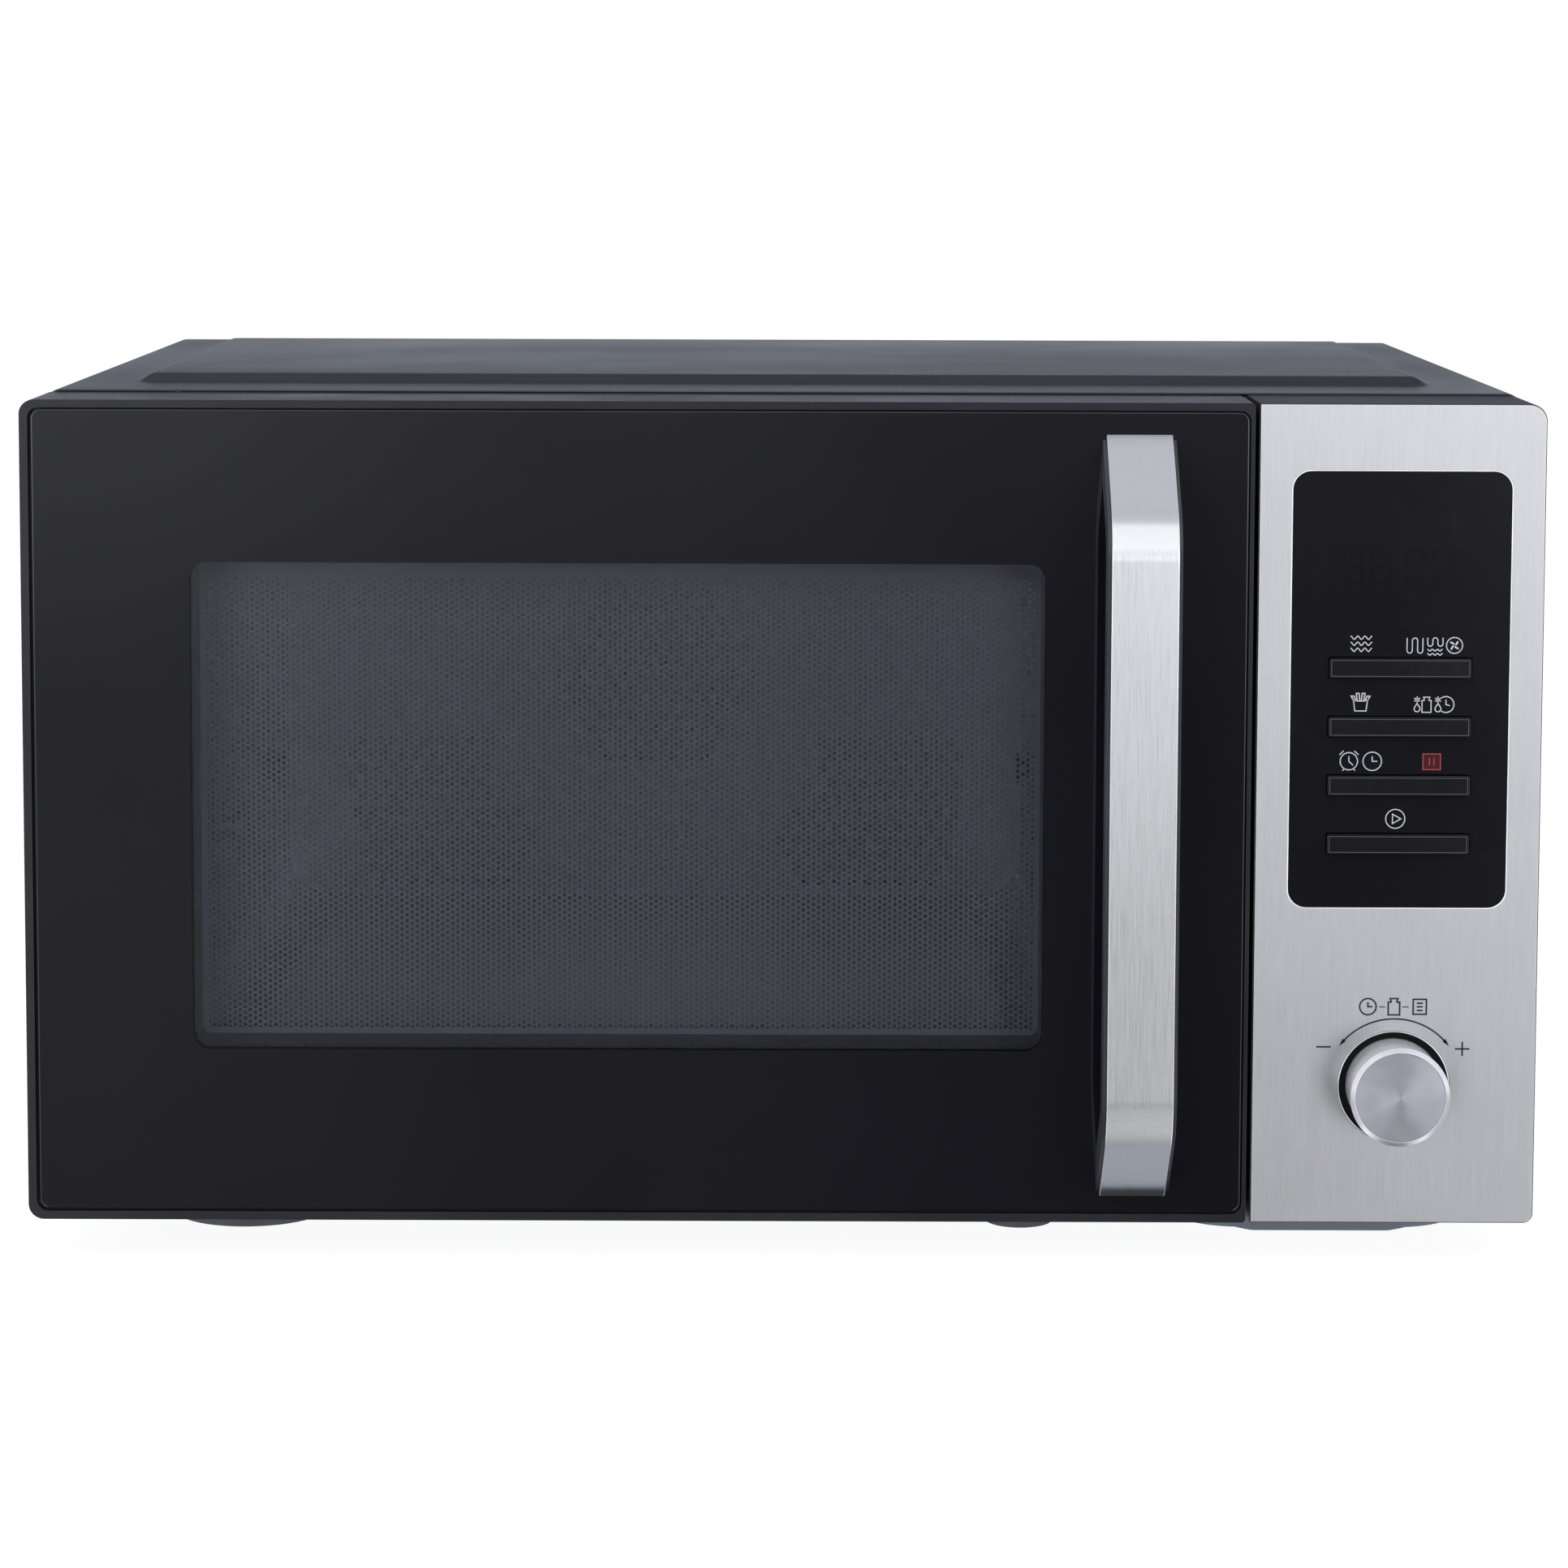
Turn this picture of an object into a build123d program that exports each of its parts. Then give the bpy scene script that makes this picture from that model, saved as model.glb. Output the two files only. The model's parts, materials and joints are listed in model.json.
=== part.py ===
"""Combination microwave oven: wrapped casing, hinged glass door, control panel and flat ceramic floor.

Millimetres. X points right, Y points back, Z points up, and the origin is at the middle of the footprint.
"""
import os
from math import radians, tan

from build123d import *

# ---------------------------------------------------------------- overall size
WIDTH = 539.0
DEPTH = 443.0
FRONT_BOTTOM = 15.0
FRONT_TOP = 310.0
HANDLE_REACH = 34.0
REAR_COVER_REACH = 9.0
FRONT_DEPTH = 45.0
SHEET = 1.0

SIDE_X = WIDTH / 2
FRONT_Y = -DEPTH / 2 + HANDLE_REACH
DOOR_BACK_Y = FRONT_Y + FRONT_DEPTH
FRAME_Y = DOOR_BACK_Y + 1.0
FRAME_BACK_Y = FRAME_Y + SHEET
CASE_BACK_Y = DEPTH / 2 - REAR_COVER_REACH
REAR_PANEL_Y = CASE_BACK_Y - 2 * SHEET
FRONT_MID_Z = (FRONT_BOTTOM + FRONT_TOP) / 2
FRONT_HEIGHT = FRONT_TOP - FRONT_BOTTOM

# ---------------------------------------------------------------- casing and base
CASE_X = 267.0
CASE_BOTTOM = 16.0
CASE_RADIUS = 5.0
FLANGE = 15.0
PLATEAU_X = 243.0
PLATEAU_RISE = 2.5
PLATEAU_FRONT_Y = -102.5
PLATEAU_BACK_Y = 182.5
BASE_TOP = 17.0
TUB_BOTTOM = 1.5
TUB = (145.5, 251.0, -139.0, 142.0)
TUB_RADIUS = 24.0
TUB_DRAFT = 1.5
FEET = ((-198.5, -109.0, 30.0), (88.5, -123.5, 13.5), (-198.5, 150.0, 30.0), (88.5, 164.5, 13.5))
FOOT_DRAFT = 1.0
PAD_X = (170.0, 228.0)
FRAME_X = 265.5
SCREW_X = 259.0
SCREW_HEIGHTS = (40.0, 160.0, 285.0)
SIDE_SLOTS = 12
SIDE_SLOT_PITCH = 11.0
SIDE_SLOT_START = 30.0
SIDE_SLOT = (4.0, 20.0)
INTAKE_HEIGHTS = (70.0, 100.0, 130.0)
OUTLET_HEIGHTS = (170.0, 200.0, 230.0)

# ---------------------------------------------------------------- cavity
CAV_LEFT = -215.0
CAV_RIGHT = 104.0
CAV_FLOOR = 70.3
CAV_TOP = 281.0
CAV_BACK_Y = 178.0
CAV_RADIUS = 18.0
CAV_MID_X = (CAV_LEFT + CAV_RIGHT) / 2
CAV_MID_Z = (CAV_FLOOR + CAV_TOP) / 2
CAV_W = CAV_RIGHT - CAV_LEFT
CAV_H = CAV_TOP - CAV_FLOOR
CERAMIC_THICK = 4.0
LEDGE_INSET = 2.5
CERAMIC_FRONT_Y = -134.0
CERAMIC_BACK_Y = 172.0
SEAL_WIDTH = 1.5
WELL_RADIUS = 110.0
WELL_FLOOR = 53.0
STIR_Y = 18.75
STIR_SHAFT_R = 3.0
COUPLING_HOLE_R = 12.0
RING_X = -55.0
RING_Z = 166.7
RING_RADIUS = 73.8
AIR_PITCH = 6.88
AIR_ROW = AIR_PITCH * 0.866
AIR_HOLE_R = 2.2
STUD_Z = 135.0
STUD_DEPTHS = (-44.5, 117.5)
GRILL_Z = 268.0
GRILL_ROWS = (-80.0, -20.0, 60.0, 120.0)
TUBE_R = 3.25
HEATER_Y = 189.5
HEATER_R = 62.0
HEATER_LEAD = 12.0
HEATER_LEAD_DROP = 60.8

# ---------------------------------------------------------------- door
DOOR_RIGHT = 166.5
GLASS_THICK = 3.5
GLASS_BACK_Y = FRONT_Y + GLASS_THICK
DOOR_FACE_BACK_Y = GLASS_BACK_Y + 2.5
WINDOW_LEFT = -209.9
WINDOW_RIGHT = 93.0
WINDOW_BOTTOM = 77.2
WINDOW_TOP = 251.8
SCREEN_Y = FRONT_Y + 28.0
SCREEN_THICK = 0.8
HINGE_X = -261.5
HINGE_Y = -152.5
PIN_R = 2.0
BUSH_R = 4.0
RUNNING_GAP = 0.05
BUSH_HEIGHTS = (28.5, 286.5)
BUSH_LENGTH = 10.0
LATCH_X = 153.0
LATCH_ARM_HEIGHTS = (66.0, 246.0)

# ---------------------------------------------------------------- handle
HANDLE_X = 125.7
HANDLE_WIDTH = 23.5
HANDLE_BOTTOM = 24.5
HANDLE_TOP = 298.1
HANDLE_SLOPE = 48.0
HANDLE_BEND = 25.6
STRAP_THICK = 1.5
BAR_BACK = 13.0
BAR_OVERHANG = 1.2
HANDLE_SCREW_HEIGHTS = (33.9, 288.7)
HANDLE_SCREW_R = 1.9

# ---------------------------------------------------------------- control panel
PANEL_LEFT = 168.0
CONTROL_X = 218.75
FASCIA_THICK = 1.0
PANEL_FACE_Y = FRONT_Y + FASCIA_THICK
PANEL_WALL = 2.5
LENS_W = 77.8
LENS_BOTTOM = 129.3
LENS_TOP = 285.5
LENS_RADIUS = 6.6
LENS_Y = FRONT_Y + 0.2
LENS_THICK = 2.8
KEY_W = 50.3
KEY_H = 7.1
KEY_HEIGHTS = (215.4, 194.4, 173.4, 152.4)
KEY_SLOT_W = 51.6
KEY_SLOT_H = 7.9
KEY_PIVOT_Y = -182.4
KNOB_Z = 64.9
RECESS_R = 20.0
KNOB_R = 17.0
KNOB_FACE_R = 17.7
CAP_R = 15.9
KNOB_REACH = 20.0
BOARD_Y = -172.0

# ---------------------------------------------------------------- fans
COOL_X = 186.0
COOL_Z = 225.0
COOL_R = 54.0
COOL_SHAFT_R = 1.6
COOL_HALF = 58.0
CORD_X = 225.0
CORD_Z = 60.0


def front_plane(y):
    """Upright plane at depth y: sketch axes X and Z, extruding towards the front."""
    return Plane.XZ.offset(-y)


def block(x0, x1, y0, y1, z0, z1, mode=Mode.ADD):
    """Box between two corners."""
    with Locations(((x0 + x1) / 2, (y0 + y1) / 2, (z0 + z1) / 2)):
        Box(x1 - x0, y1 - y0, z1 - z0, mode=mode)


def rod_x(y, z, radius, x0, x1, mode=Mode.ADD):
    """Round bar along X."""
    with Locations(((x0 + x1) / 2, y, z)):
        Cylinder(radius, x1 - x0, rotation=(0, 90, 0), mode=mode)


def rod_y(x, z, radius, y0, y1, mode=Mode.ADD):
    """Round bar along Y."""
    with Locations((x, (y0 + y1) / 2, z)):
        Cylinder(radius, y1 - y0, rotation=(90, 0, 0), mode=mode)


def rod_z(x, y, radius, z0, z1, mode=Mode.ADD):
    """Round bar along Z."""
    with Locations((x, y, (z0 + z1) / 2)):
        Cylinder(radius, z1 - z0, mode=mode)


def plate(x0, x1, z0, z1, y_front, y_back, radius, mode=Mode.ADD):
    """Upright plate with rounded corners, between two depths."""
    with BuildSketch(front_plane(y_back)) as outline:
        with Locations(((x0 + x1) / 2, (z0 + z1) / 2)):
            RectangleRounded(x1 - x0, z1 - z0, radius)
    extrude(outline.sketch, amount=y_back - y_front, mode=mode)


def turned_y(points, x, z, mode=Mode.ADD):
    """Turned shape about an axis along Y, from (radius, y) points."""
    with BuildSketch(Plane(origin=(x, 0, z))) as profile:
        with BuildLine():
            Polyline(*points, close=True)
        make_face()
    revolve(profile.sketch, axis=Axis((x, 0, z), (0, 1, 0)), mode=mode)


def frustum(low_z, low_box, high_z, high_box, radius=0, mode=Mode.ADD):
    """Tapered box between two level rectangles, each given as x0, x1, y0, y1."""
    sections = []
    for level, (x0, x1, y0, y1) in ((low_z, low_box), (high_z, high_box)):
        with BuildSketch(Plane.XY.offset(level)) as section:
            with Locations(((x0 + x1) / 2, (y0 + y1) / 2)):
                if radius:
                    RectangleRounded(x1 - x0, y1 - y0, radius)
                else:
                    Rectangle(x1 - x0, y1 - y0)
        sections.append(section.sketch)
    loft(sections, ruled=True, mode=mode)


def grown(box, margin):
    """A level rectangle x0, x1, y0, y1 made larger by a margin on every side."""
    x0, x1, y0, y1 = box
    return (x0 - margin, x1 + margin, y0 - margin, y1 + margin)


def hex_patch():
    """Hole centres of the intake: a hexagon with seven holes on each side."""
    centres = []
    for row in range(-6, 7):
        count = 13 - abs(row)
        for i in range(count):
            x = RING_X + (i - (count - 1) / 2) * AIR_PITCH
            centres.append((x, RING_Z + row * AIR_ROW))
    return centres


def outlet_patches():
    """Hole centres of the four outlet groups, mirrored about the ring."""
    half = []
    for row, count in enumerate((11, 11, 11, 11, 10, 9)):
        inner_x = -109.3 - abs(row - 2) * AIR_PITCH / 2
        half += [(inner_x - i * AIR_PITCH, 106.2 - row * AIR_ROW) for i in range(count)]
    for row in range(5):
        inner_x = -128.0 - (row % 2) * AIR_PITCH / 2
        half += [(inner_x - i * AIR_PITCH, 137.3 - row * AIR_ROW) for i in range(9)]
    return half + [(2 * RING_X - x, z) for x, z in half]


def handle_path(inset):
    """Corner points (Y, Z) of the handle's outline, a set distance inside its outer face."""
    shift = inset * tan(radians(HANDLE_SLOPE / 2))
    outer_y = -DEPTH / 2 + inset
    run = HANDLE_REACH / tan(radians(HANDLE_SLOPE))
    top_z = HANDLE_TOP - run - shift
    bottom_z = HANDLE_BOTTOM + run + shift
    foot = (FRONT_Y - outer_y) / tan(radians(HANDLE_SLOPE))
    return [(FRONT_Y, top_z + foot), (outer_y, top_z), (outer_y, bottom_z), (FRONT_Y, bottom_z - foot)]


# ================================================================ casing, frame and base
with BuildPart() as outer_casing:
    with BuildSketch(front_plane(CASE_BACK_Y)):
        with BuildLine():
            outer = FilletPolyline(
                (-CASE_X, CASE_BOTTOM), (-CASE_X, FRONT_TOP), (CASE_X, FRONT_TOP), (CASE_X, CASE_BOTTOM),
                radius=CASE_RADIUS,
            )
            inner = FilletPolyline(
                (-CASE_X + SHEET, CASE_BOTTOM), (-CASE_X + SHEET, FRONT_TOP - SHEET),
                (CASE_X - SHEET, FRONT_TOP - SHEET), (CASE_X - SHEET, CASE_BOTTOM),
                radius=CASE_RADIUS - SHEET,
            )
            Line(outer @ 0, inner @ 0)
            Line(outer @ 1, inner @ 1)
        make_face()
    extrude(amount=CASE_BACK_Y - FRAME_Y)
    # Return flange around the back, which the rear panel is screwed to.
    block(-CASE_X + SHEET, -CASE_X + FLANGE, CASE_BACK_Y - SHEET, CASE_BACK_Y, CASE_BOTTOM, FRONT_TOP - 5)
    block(CASE_X - FLANGE, CASE_X - SHEET, CASE_BACK_Y - SHEET, CASE_BACK_Y, CASE_BOTTOM, FRONT_TOP - 5)
    block(-CASE_X + 5, CASE_X - 5, CASE_BACK_Y - SHEET, CASE_BACK_Y, FRONT_TOP - FLANGE, FRONT_TOP - SHEET)
    for x in (-SCREW_X, SCREW_X):
        for z in SCREW_HEIGHTS:
            rod_y(x, z, 2.1, CASE_BACK_Y - 2, CASE_BACK_Y + 1, mode=Mode.SUBTRACT)
    # Raised field pressed into the top, with a wide ramp at its front.
    field = (-PLATEAU_X, PLATEAU_X, PLATEAU_FRONT_Y, PLATEAU_BACK_Y)
    crown = (-PLATEAU_X + 7, PLATEAU_X - 7, PLATEAU_FRONT_Y + 26, PLATEAU_BACK_Y - 7)
    frustum(FRONT_TOP, field, FRONT_TOP + PLATEAU_RISE, crown)
    frustum(FRONT_TOP - SHEET, field, FRONT_TOP + PLATEAU_RISE - SHEET, crown, mode=Mode.SUBTRACT)
    # Air slots: intake low on the right side, outlet high on the left.
    slot_wide, slot_high = SIDE_SLOT
    for wall_x, heights in ((CASE_X, INTAKE_HEIGHTS), (-CASE_X, OUTLET_HEIGHTS)):
        for z in heights:
            for column in range(SIDE_SLOTS):
                y = SIDE_SLOT_START + column * SIDE_SLOT_PITCH
                block(wall_x - 3, wall_x + 3, y, y + slot_wide, z, z + slot_high, mode=Mode.SUBTRACT)

with BuildPart() as front_frame:
    block(-FRAME_X, FRAME_X, FRAME_Y, FRAME_BACK_Y + 10, 18, 308.5)
    fillet(front_frame.edges().filter_by(Axis.Y).group_by(Axis.Z)[-1], CASE_RADIUS)
    block(
        -FRAME_X + SHEET, FRAME_X - SHEET, FRAME_BACK_Y, FRAME_BACK_Y + 10, 18 + SHEET, 308.5 - SHEET,
        mode=Mode.SUBTRACT,
    )
    plate(CAV_LEFT, CAV_RIGHT, CAV_FLOOR, CAV_TOP, FRAME_Y, FRAME_BACK_Y, CAV_RADIUS, mode=Mode.SUBTRACT)
    for arm_z in LATCH_ARM_HEIGHTS:
        block(LATCH_X - 5.5, LATCH_X + 5.5, FRAME_Y, FRAME_BACK_Y, arm_z - 8, arm_z + 14, mode=Mode.SUBTRACT)
    for arm_z in (24.5, 297.5):
        block(-266, -257, FRAME_Y, FRAME_Y + 12, arm_z, arm_z + 3, mode=Mode.SUBTRACT)
    block(195, 245, FRAME_Y, FRAME_BACK_Y, 120, 150, mode=Mode.SUBTRACT)

with BuildPart() as base_plate:
    block(-265, 265, -141, REAR_PANEL_Y - 0.5, BASE_TOP - SHEET, BASE_TOP)
    # Pressed tub under the component bay.
    frustum(TUB_BOTTOM, TUB, BASE_TOP, grown(TUB, TUB_DRAFT), TUB_RADIUS)
    frustum(
        TUB_BOTTOM + SHEET, grown(TUB, -SHEET), BASE_TOP, grown(TUB, TUB_DRAFT - SHEET), TUB_RADIUS - SHEET,
        mode=Mode.SUBTRACT,
    )
    for row in range(4):
        for column in range(9):
            y = -20 + column * 15
            block(167 + row * 14, 173 + row * 14, y, y + 9, 0, TUB_BOTTOM + 3, mode=Mode.SUBTRACT)

with BuildPart() as feet:
    for x, y, radius in FEET:
        with Locations((x, y, (BASE_TOP - SHEET) / 2)):
            Cone(radius - FOOT_DRAFT, radius, BASE_TOP - SHEET)
    # Thin pads under the tub, level with the feet.
    block(*PAD_X, -138.5, -120, 0, TUB_BOTTOM)
    block(*PAD_X, 122, 140, 0, TUB_BOTTOM)

with BuildPart() as rear_panel:
    block(-265, 265, REAR_PANEL_Y, REAR_PANEL_Y + SHEET, 18, 308)
    fillet(rear_panel.edges().filter_by(Axis.Y).group_by(Axis.Z)[-1], CASE_RADIUS)
    rod_y(RING_X, RING_Z, 34, REAR_PANEL_Y, REAR_PANEL_Y + SHEET, mode=Mode.SUBTRACT)
    rod_y(CORD_X, CORD_Z, 8.2, REAR_PANEL_Y, REAR_PANEL_Y + SHEET, mode=Mode.SUBTRACT)
    for row in range(4):
        for column in range(10):
            x = COOL_X - 47 + column * 10
            z = COOL_Z - 46 + row * 24
            block(x, x + 4, REAR_PANEL_Y, REAR_PANEL_Y + SHEET, z, z + 19, mode=Mode.SUBTRACT)
    for x in (-SCREW_X, SCREW_X):
        for z in SCREW_HEIGHTS:
            rod_y(x, z, 1.75, REAR_PANEL_Y, REAR_PANEL_Y + SHEET, mode=Mode.SUBTRACT)

with BuildPart() as rear_fan_cover:
    cover_y = REAR_PANEL_Y + SHEET
    turned_y(
        [
            (0, DEPTH / 2), (42, DEPTH / 2), (47, cover_y + 4), (47, cover_y + SHEET), (56, cover_y + SHEET),
            (56, cover_y), (46, cover_y), (46, cover_y + 4), (41.5, DEPTH / 2 - SHEET), (0, DEPTH / 2 - SHEET),
        ],
        RING_X, RING_Z,
    )

with BuildPart() as casing_screws:
    for x in (-SCREW_X, SCREW_X):
        for z in SCREW_HEIGHTS:
            rod_y(x, z, 4.2, CASE_BACK_Y, CASE_BACK_Y + 2.2)
            rod_y(x, z, 1.7, CASE_BACK_Y - 9, CASE_BACK_Y)

with BuildPart() as cord_inlet:
    rod_y(CORD_X, CORD_Z, 8, 203.5, 219.5)
    rod_y(CORD_X, CORD_Z, 11, REAR_PANEL_Y + SHEET, REAR_PANEL_Y + 3)
    rod_y(CORD_X, CORD_Z, 3.75, 203.5, 219.5, mode=Mode.SUBTRACT)

# ================================================================ cavity
with BuildPart() as oven_cavity:
    plate(
        CAV_LEFT - SHEET, CAV_RIGHT + SHEET, CAV_FLOOR - SHEET, CAV_TOP + SHEET,
        FRAME_BACK_Y, CAV_BACK_Y, CAV_RADIUS + SHEET,
    )
    plate(
        CAV_LEFT, CAV_RIGHT, CAV_FLOOR, CAV_TOP, FRAME_BACK_Y, CAV_BACK_Y, CAV_RADIUS, mode=Mode.SUBTRACT
    )
    # Step in the floor for the ceramic plate, and the round well of the stirrer below it.
    ledge = CAV_FLOOR - CERAMIC_THICK
    left = CAV_LEFT + CAV_RADIUS + LEDGE_INSET
    right = CAV_RIGHT - CAV_RADIUS - LEDGE_INSET
    block(
        left - SHEET, right + SHEET, CERAMIC_FRONT_Y - SHEET, CERAMIC_BACK_Y + SHEET,
        ledge - SHEET, CAV_FLOOR - SHEET,
    )
    rod_z(CAV_MID_X, STIR_Y, WELL_RADIUS + SHEET, WELL_FLOOR - SHEET, ledge - SHEET)
    block(left, right, CERAMIC_FRONT_Y, CERAMIC_BACK_Y, ledge, CAV_FLOOR, mode=Mode.SUBTRACT)
    rod_z(CAV_MID_X, STIR_Y, WELL_RADIUS, WELL_FLOOR, ledge, mode=Mode.SUBTRACT)
    rod_z(CAV_MID_X, STIR_Y, COUPLING_HOLE_R, WELL_FLOOR - SHEET, WELL_FLOOR, mode=Mode.SUBTRACT)
    # Holes for the grill's ends, the lamp's light and the air.
    for y in (GRILL_ROWS[0], GRILL_ROWS[-1]):
        rod_x(y, GRILL_Z, TUBE_R + 0.5, CAV_RIGHT - 6, CAV_RIGHT + 2, mode=Mode.SUBTRACT)
    for row in range(5):
        for column in range(5):
            rod_x(-12 + column * 6, 233 + row * 6, 1.5, CAV_RIGHT - 1, CAV_RIGHT + 2, mode=Mode.SUBTRACT)
            rod_x(80 + column * 6, 215 + row * 6, 1.5, CAV_LEFT - 2, CAV_LEFT + 1, mode=Mode.SUBTRACT)

with BuildPart() as cavity_back:
    with BuildSketch(front_plane(CAV_BACK_Y + SHEET)):
        with Locations((CAV_MID_X, CAV_MID_Z)):
            RectangleRounded(CAV_W + 18, CAV_H + 18, CAV_RADIUS + 9)
        with Locations(*(hex_patch() + outlet_patches())):
            Circle(AIR_HOLE_R, mode=Mode.SUBTRACT)
    extrude(amount=SHEET)
    # Raised round bead about the intake.
    rod_y(RING_X, RING_Z, RING_RADIUS + 1.7, CAV_BACK_Y - 1.2, CAV_BACK_Y)
    rod_y(RING_X, RING_Z, RING_RADIUS - 1.7, CAV_BACK_Y - 1.2, CAV_BACK_Y, mode=Mode.SUBTRACT)

with BuildPart() as rack_studs:
    for y in STUD_DEPTHS:
        rod_x(y, STUD_Z, 4, CAV_LEFT, CAV_LEFT + 4)
        rod_x(y, STUD_Z, 6, CAV_LEFT + 4, CAV_LEFT + 6)
        rod_x(y, STUD_Z, 4, CAV_RIGHT - 4, CAV_RIGHT)
        rod_x(y, STUD_Z, 6, CAV_RIGHT - 6, CAV_RIGHT - 4)

with BuildPart() as ceramic_floor:
    block(
        left + SEAL_WIDTH, right - SEAL_WIDTH, CERAMIC_FRONT_Y + SEAL_WIDTH, CERAMIC_BACK_Y - SEAL_WIDTH,
        ledge, CAV_FLOOR,
    )

with BuildPart() as floor_seal:
    block(left, right, CERAMIC_FRONT_Y, CERAMIC_BACK_Y, ledge, CAV_FLOOR)
    block(
        left + SEAL_WIDTH, right - SEAL_WIDTH, CERAMIC_FRONT_Y + SEAL_WIDTH, CERAMIC_BACK_Y - SEAL_WIDTH,
        ledge, CAV_FLOOR, mode=Mode.SUBTRACT,
    )

with BuildPart() as grill_element:
    with BuildLine(Plane.XY.offset(GRILL_Z)) as grill_path:
        lead_x, left_x, right_x = CAV_RIGHT + 9, CAV_LEFT + 30, CAV_RIGHT - 44
        y0, y1, y2, y3 = GRILL_ROWS
        FilletPolyline(
            (lead_x, y0), (left_x, y0), (left_x, y1), (right_x, y1), (right_x, y2), (left_x, y2),
            (left_x, y3), (lead_x, y3), radius=20,
        )
    with BuildSketch(Plane(origin=grill_path.line @ 0, z_dir=grill_path.line % 0)):
        Circle(TUBE_R)
    sweep()

with BuildPart() as grill_clips:
    for y in GRILL_ROWS:
        block(-102, -98, y - 6, y + 6, GRILL_Z - 6, CAV_TOP)
        rod_x(y, GRILL_Z, TUBE_R + 0.05, -103, -97, mode=Mode.SUBTRACT)

with BuildPart() as mode_stirrer:
    rod_z(CAV_MID_X, STIR_Y, STIR_SHAFT_R, 21, 60)
    rod_z(CAV_MID_X, STIR_Y, 20, 58.2, 59.8)
    with Locations((CAV_MID_X, STIR_Y, 59)):
        with PolarLocations(50, 4):
            Box(74, 34, 1.6)

with BuildPart() as stirrer_motor:
    rod_z(CAV_MID_X, STIR_Y, 25, BASE_TOP, 33.5)
    rod_z(CAV_MID_X, STIR_Y, STIR_SHAFT_R + RUNNING_GAP, 20, 33.5, mode=Mode.SUBTRACT)

with BuildPart() as waveguide:
    block(-82, 172, STIR_Y - 35, STIR_Y + 35, 34, WELL_FLOOR - SHEET)
    block(-81, 171, STIR_Y - 34, STIR_Y + 34, 35, WELL_FLOOR - 2 * SHEET, mode=Mode.SUBTRACT)
    rod_z(CAV_MID_X, STIR_Y, COUPLING_HOLE_R, 50, WELL_FLOOR, mode=Mode.SUBTRACT)
    rod_z(CAV_MID_X, STIR_Y, STIR_SHAFT_R + 1, 33, 36, mode=Mode.SUBTRACT)
    rod_z(150, STIR_Y, 9, 50, WELL_FLOOR, mode=Mode.SUBTRACT)

# ================================================================ hot air
with BuildPart() as hot_air_housing:
    block(-200, 90, CAV_BACK_Y + SHEET, 200, 72, 262)
    block(-199, 89, CAV_BACK_Y + SHEET, 199, 73, 261, mode=Mode.SUBTRACT)
    rod_y(RING_X, RING_Z, 4, 198, 201, mode=Mode.SUBTRACT)
    for x in (RING_X - HEATER_LEAD, RING_X + HEATER_LEAD):
        rod_y(x, RING_Z - HEATER_LEAD_DROP, 4, 198, 201, mode=Mode.SUBTRACT)

with BuildPart() as convection_heater:
    with Locations((RING_X, HEATER_Y, RING_Z)):
        Torus(HEATER_R, TUBE_R, rotation=(90, 0, 0))
    for x in (RING_X - HEATER_LEAD, RING_X + HEATER_LEAD):
        rod_y(x, RING_Z - HEATER_LEAD_DROP, TUBE_R, HEATER_Y, 208)

with BuildPart() as hot_air_fan:
    rod_y(RING_X, RING_Z, 2.5, 183, 208)
    rod_y(RING_X, RING_Z, 8, 186, 195)
    rod_y(RING_X, RING_Z, 52, 194, 195.2)
    with Locations(Plane(origin=(RING_X, 188.7, RING_Z), z_dir=(0, 1, 0))):
        with PolarLocations(37, 12):
            Box(26, 1.2, 11)

with BuildPart() as hot_air_motor:
    rod_y(RING_X, RING_Z, 30, 200.5, 219.5)
    rod_y(RING_X, RING_Z, 2.5 + RUNNING_GAP, 200.5, 209, mode=Mode.SUBTRACT)

# ================================================================ component bay
with BuildPart() as magnetron:
    block(112, 200, -22, 60, 52, 54)
    block(112, 200, -22, 60, 148, 150)
    block(112, 114, -22, 60, 54, 148)
    block(198, 200, -22, 60, 54, 148)
    rod_z(150, STIR_Y, 19, 54, 148)
    rod_z(150, STIR_Y, 8, 40, 52)
    for fin in range(9):
        block(114, 198, -12, 50, 78 + fin * 6, 78.8 + fin * 6)

with BuildPart() as transformer_core:
    block(164, 221, -120, -35, TUB_BOTTOM + SHEET, 75)
    block(163, 222, -105, -87, 18, 60, mode=Mode.SUBTRACT)
    block(163, 222, -68, -50, 18, 60, mode=Mode.SUBTRACT)

with BuildPart() as transformer_windings:
    block(152, 233, -104.5, -50.5, 19, 59)
    block(163.5, 221.5, -87.5, -67.5, 19, 59, mode=Mode.SUBTRACT)
    fillet(transformer_windings.edges().filter_by(Axis.Z).group_by(Axis.X)[0], 5)
    fillet(transformer_windings.edges().filter_by(Axis.Z).group_by(Axis.X)[-1], 5)

with BuildPart() as capacitor:
    with BuildSketch(Plane.XY.offset(BASE_TOP)):
        with Locations((125, -65)):
            SlotOverall(50, 30, rotation=90)
    extrude(amount=86)
    for y in (-75, -55):
        block(122, 128, y - 0.4, y + 0.4, 103, 111)

with BuildPart() as filter_board:
    block(150, 250, 50, 140, 280, 281.6)
    rod_z(175, 80, 14, 281.6, 298)
    block(200, 226, 65, 80, 281.6, 300)
    block(200, 232, 100, 122, 281.6, 297)

with BuildPart() as fan_shroud:
    block(
        COOL_X - COOL_HALF, COOL_X + COOL_HALF, 182, REAR_PANEL_Y, COOL_Z - COOL_HALF, COOL_Z + COOL_HALF
    )
    rod_y(COOL_X, COOL_Z, COOL_R, 181, 211, mode=Mode.SUBTRACT)

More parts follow.
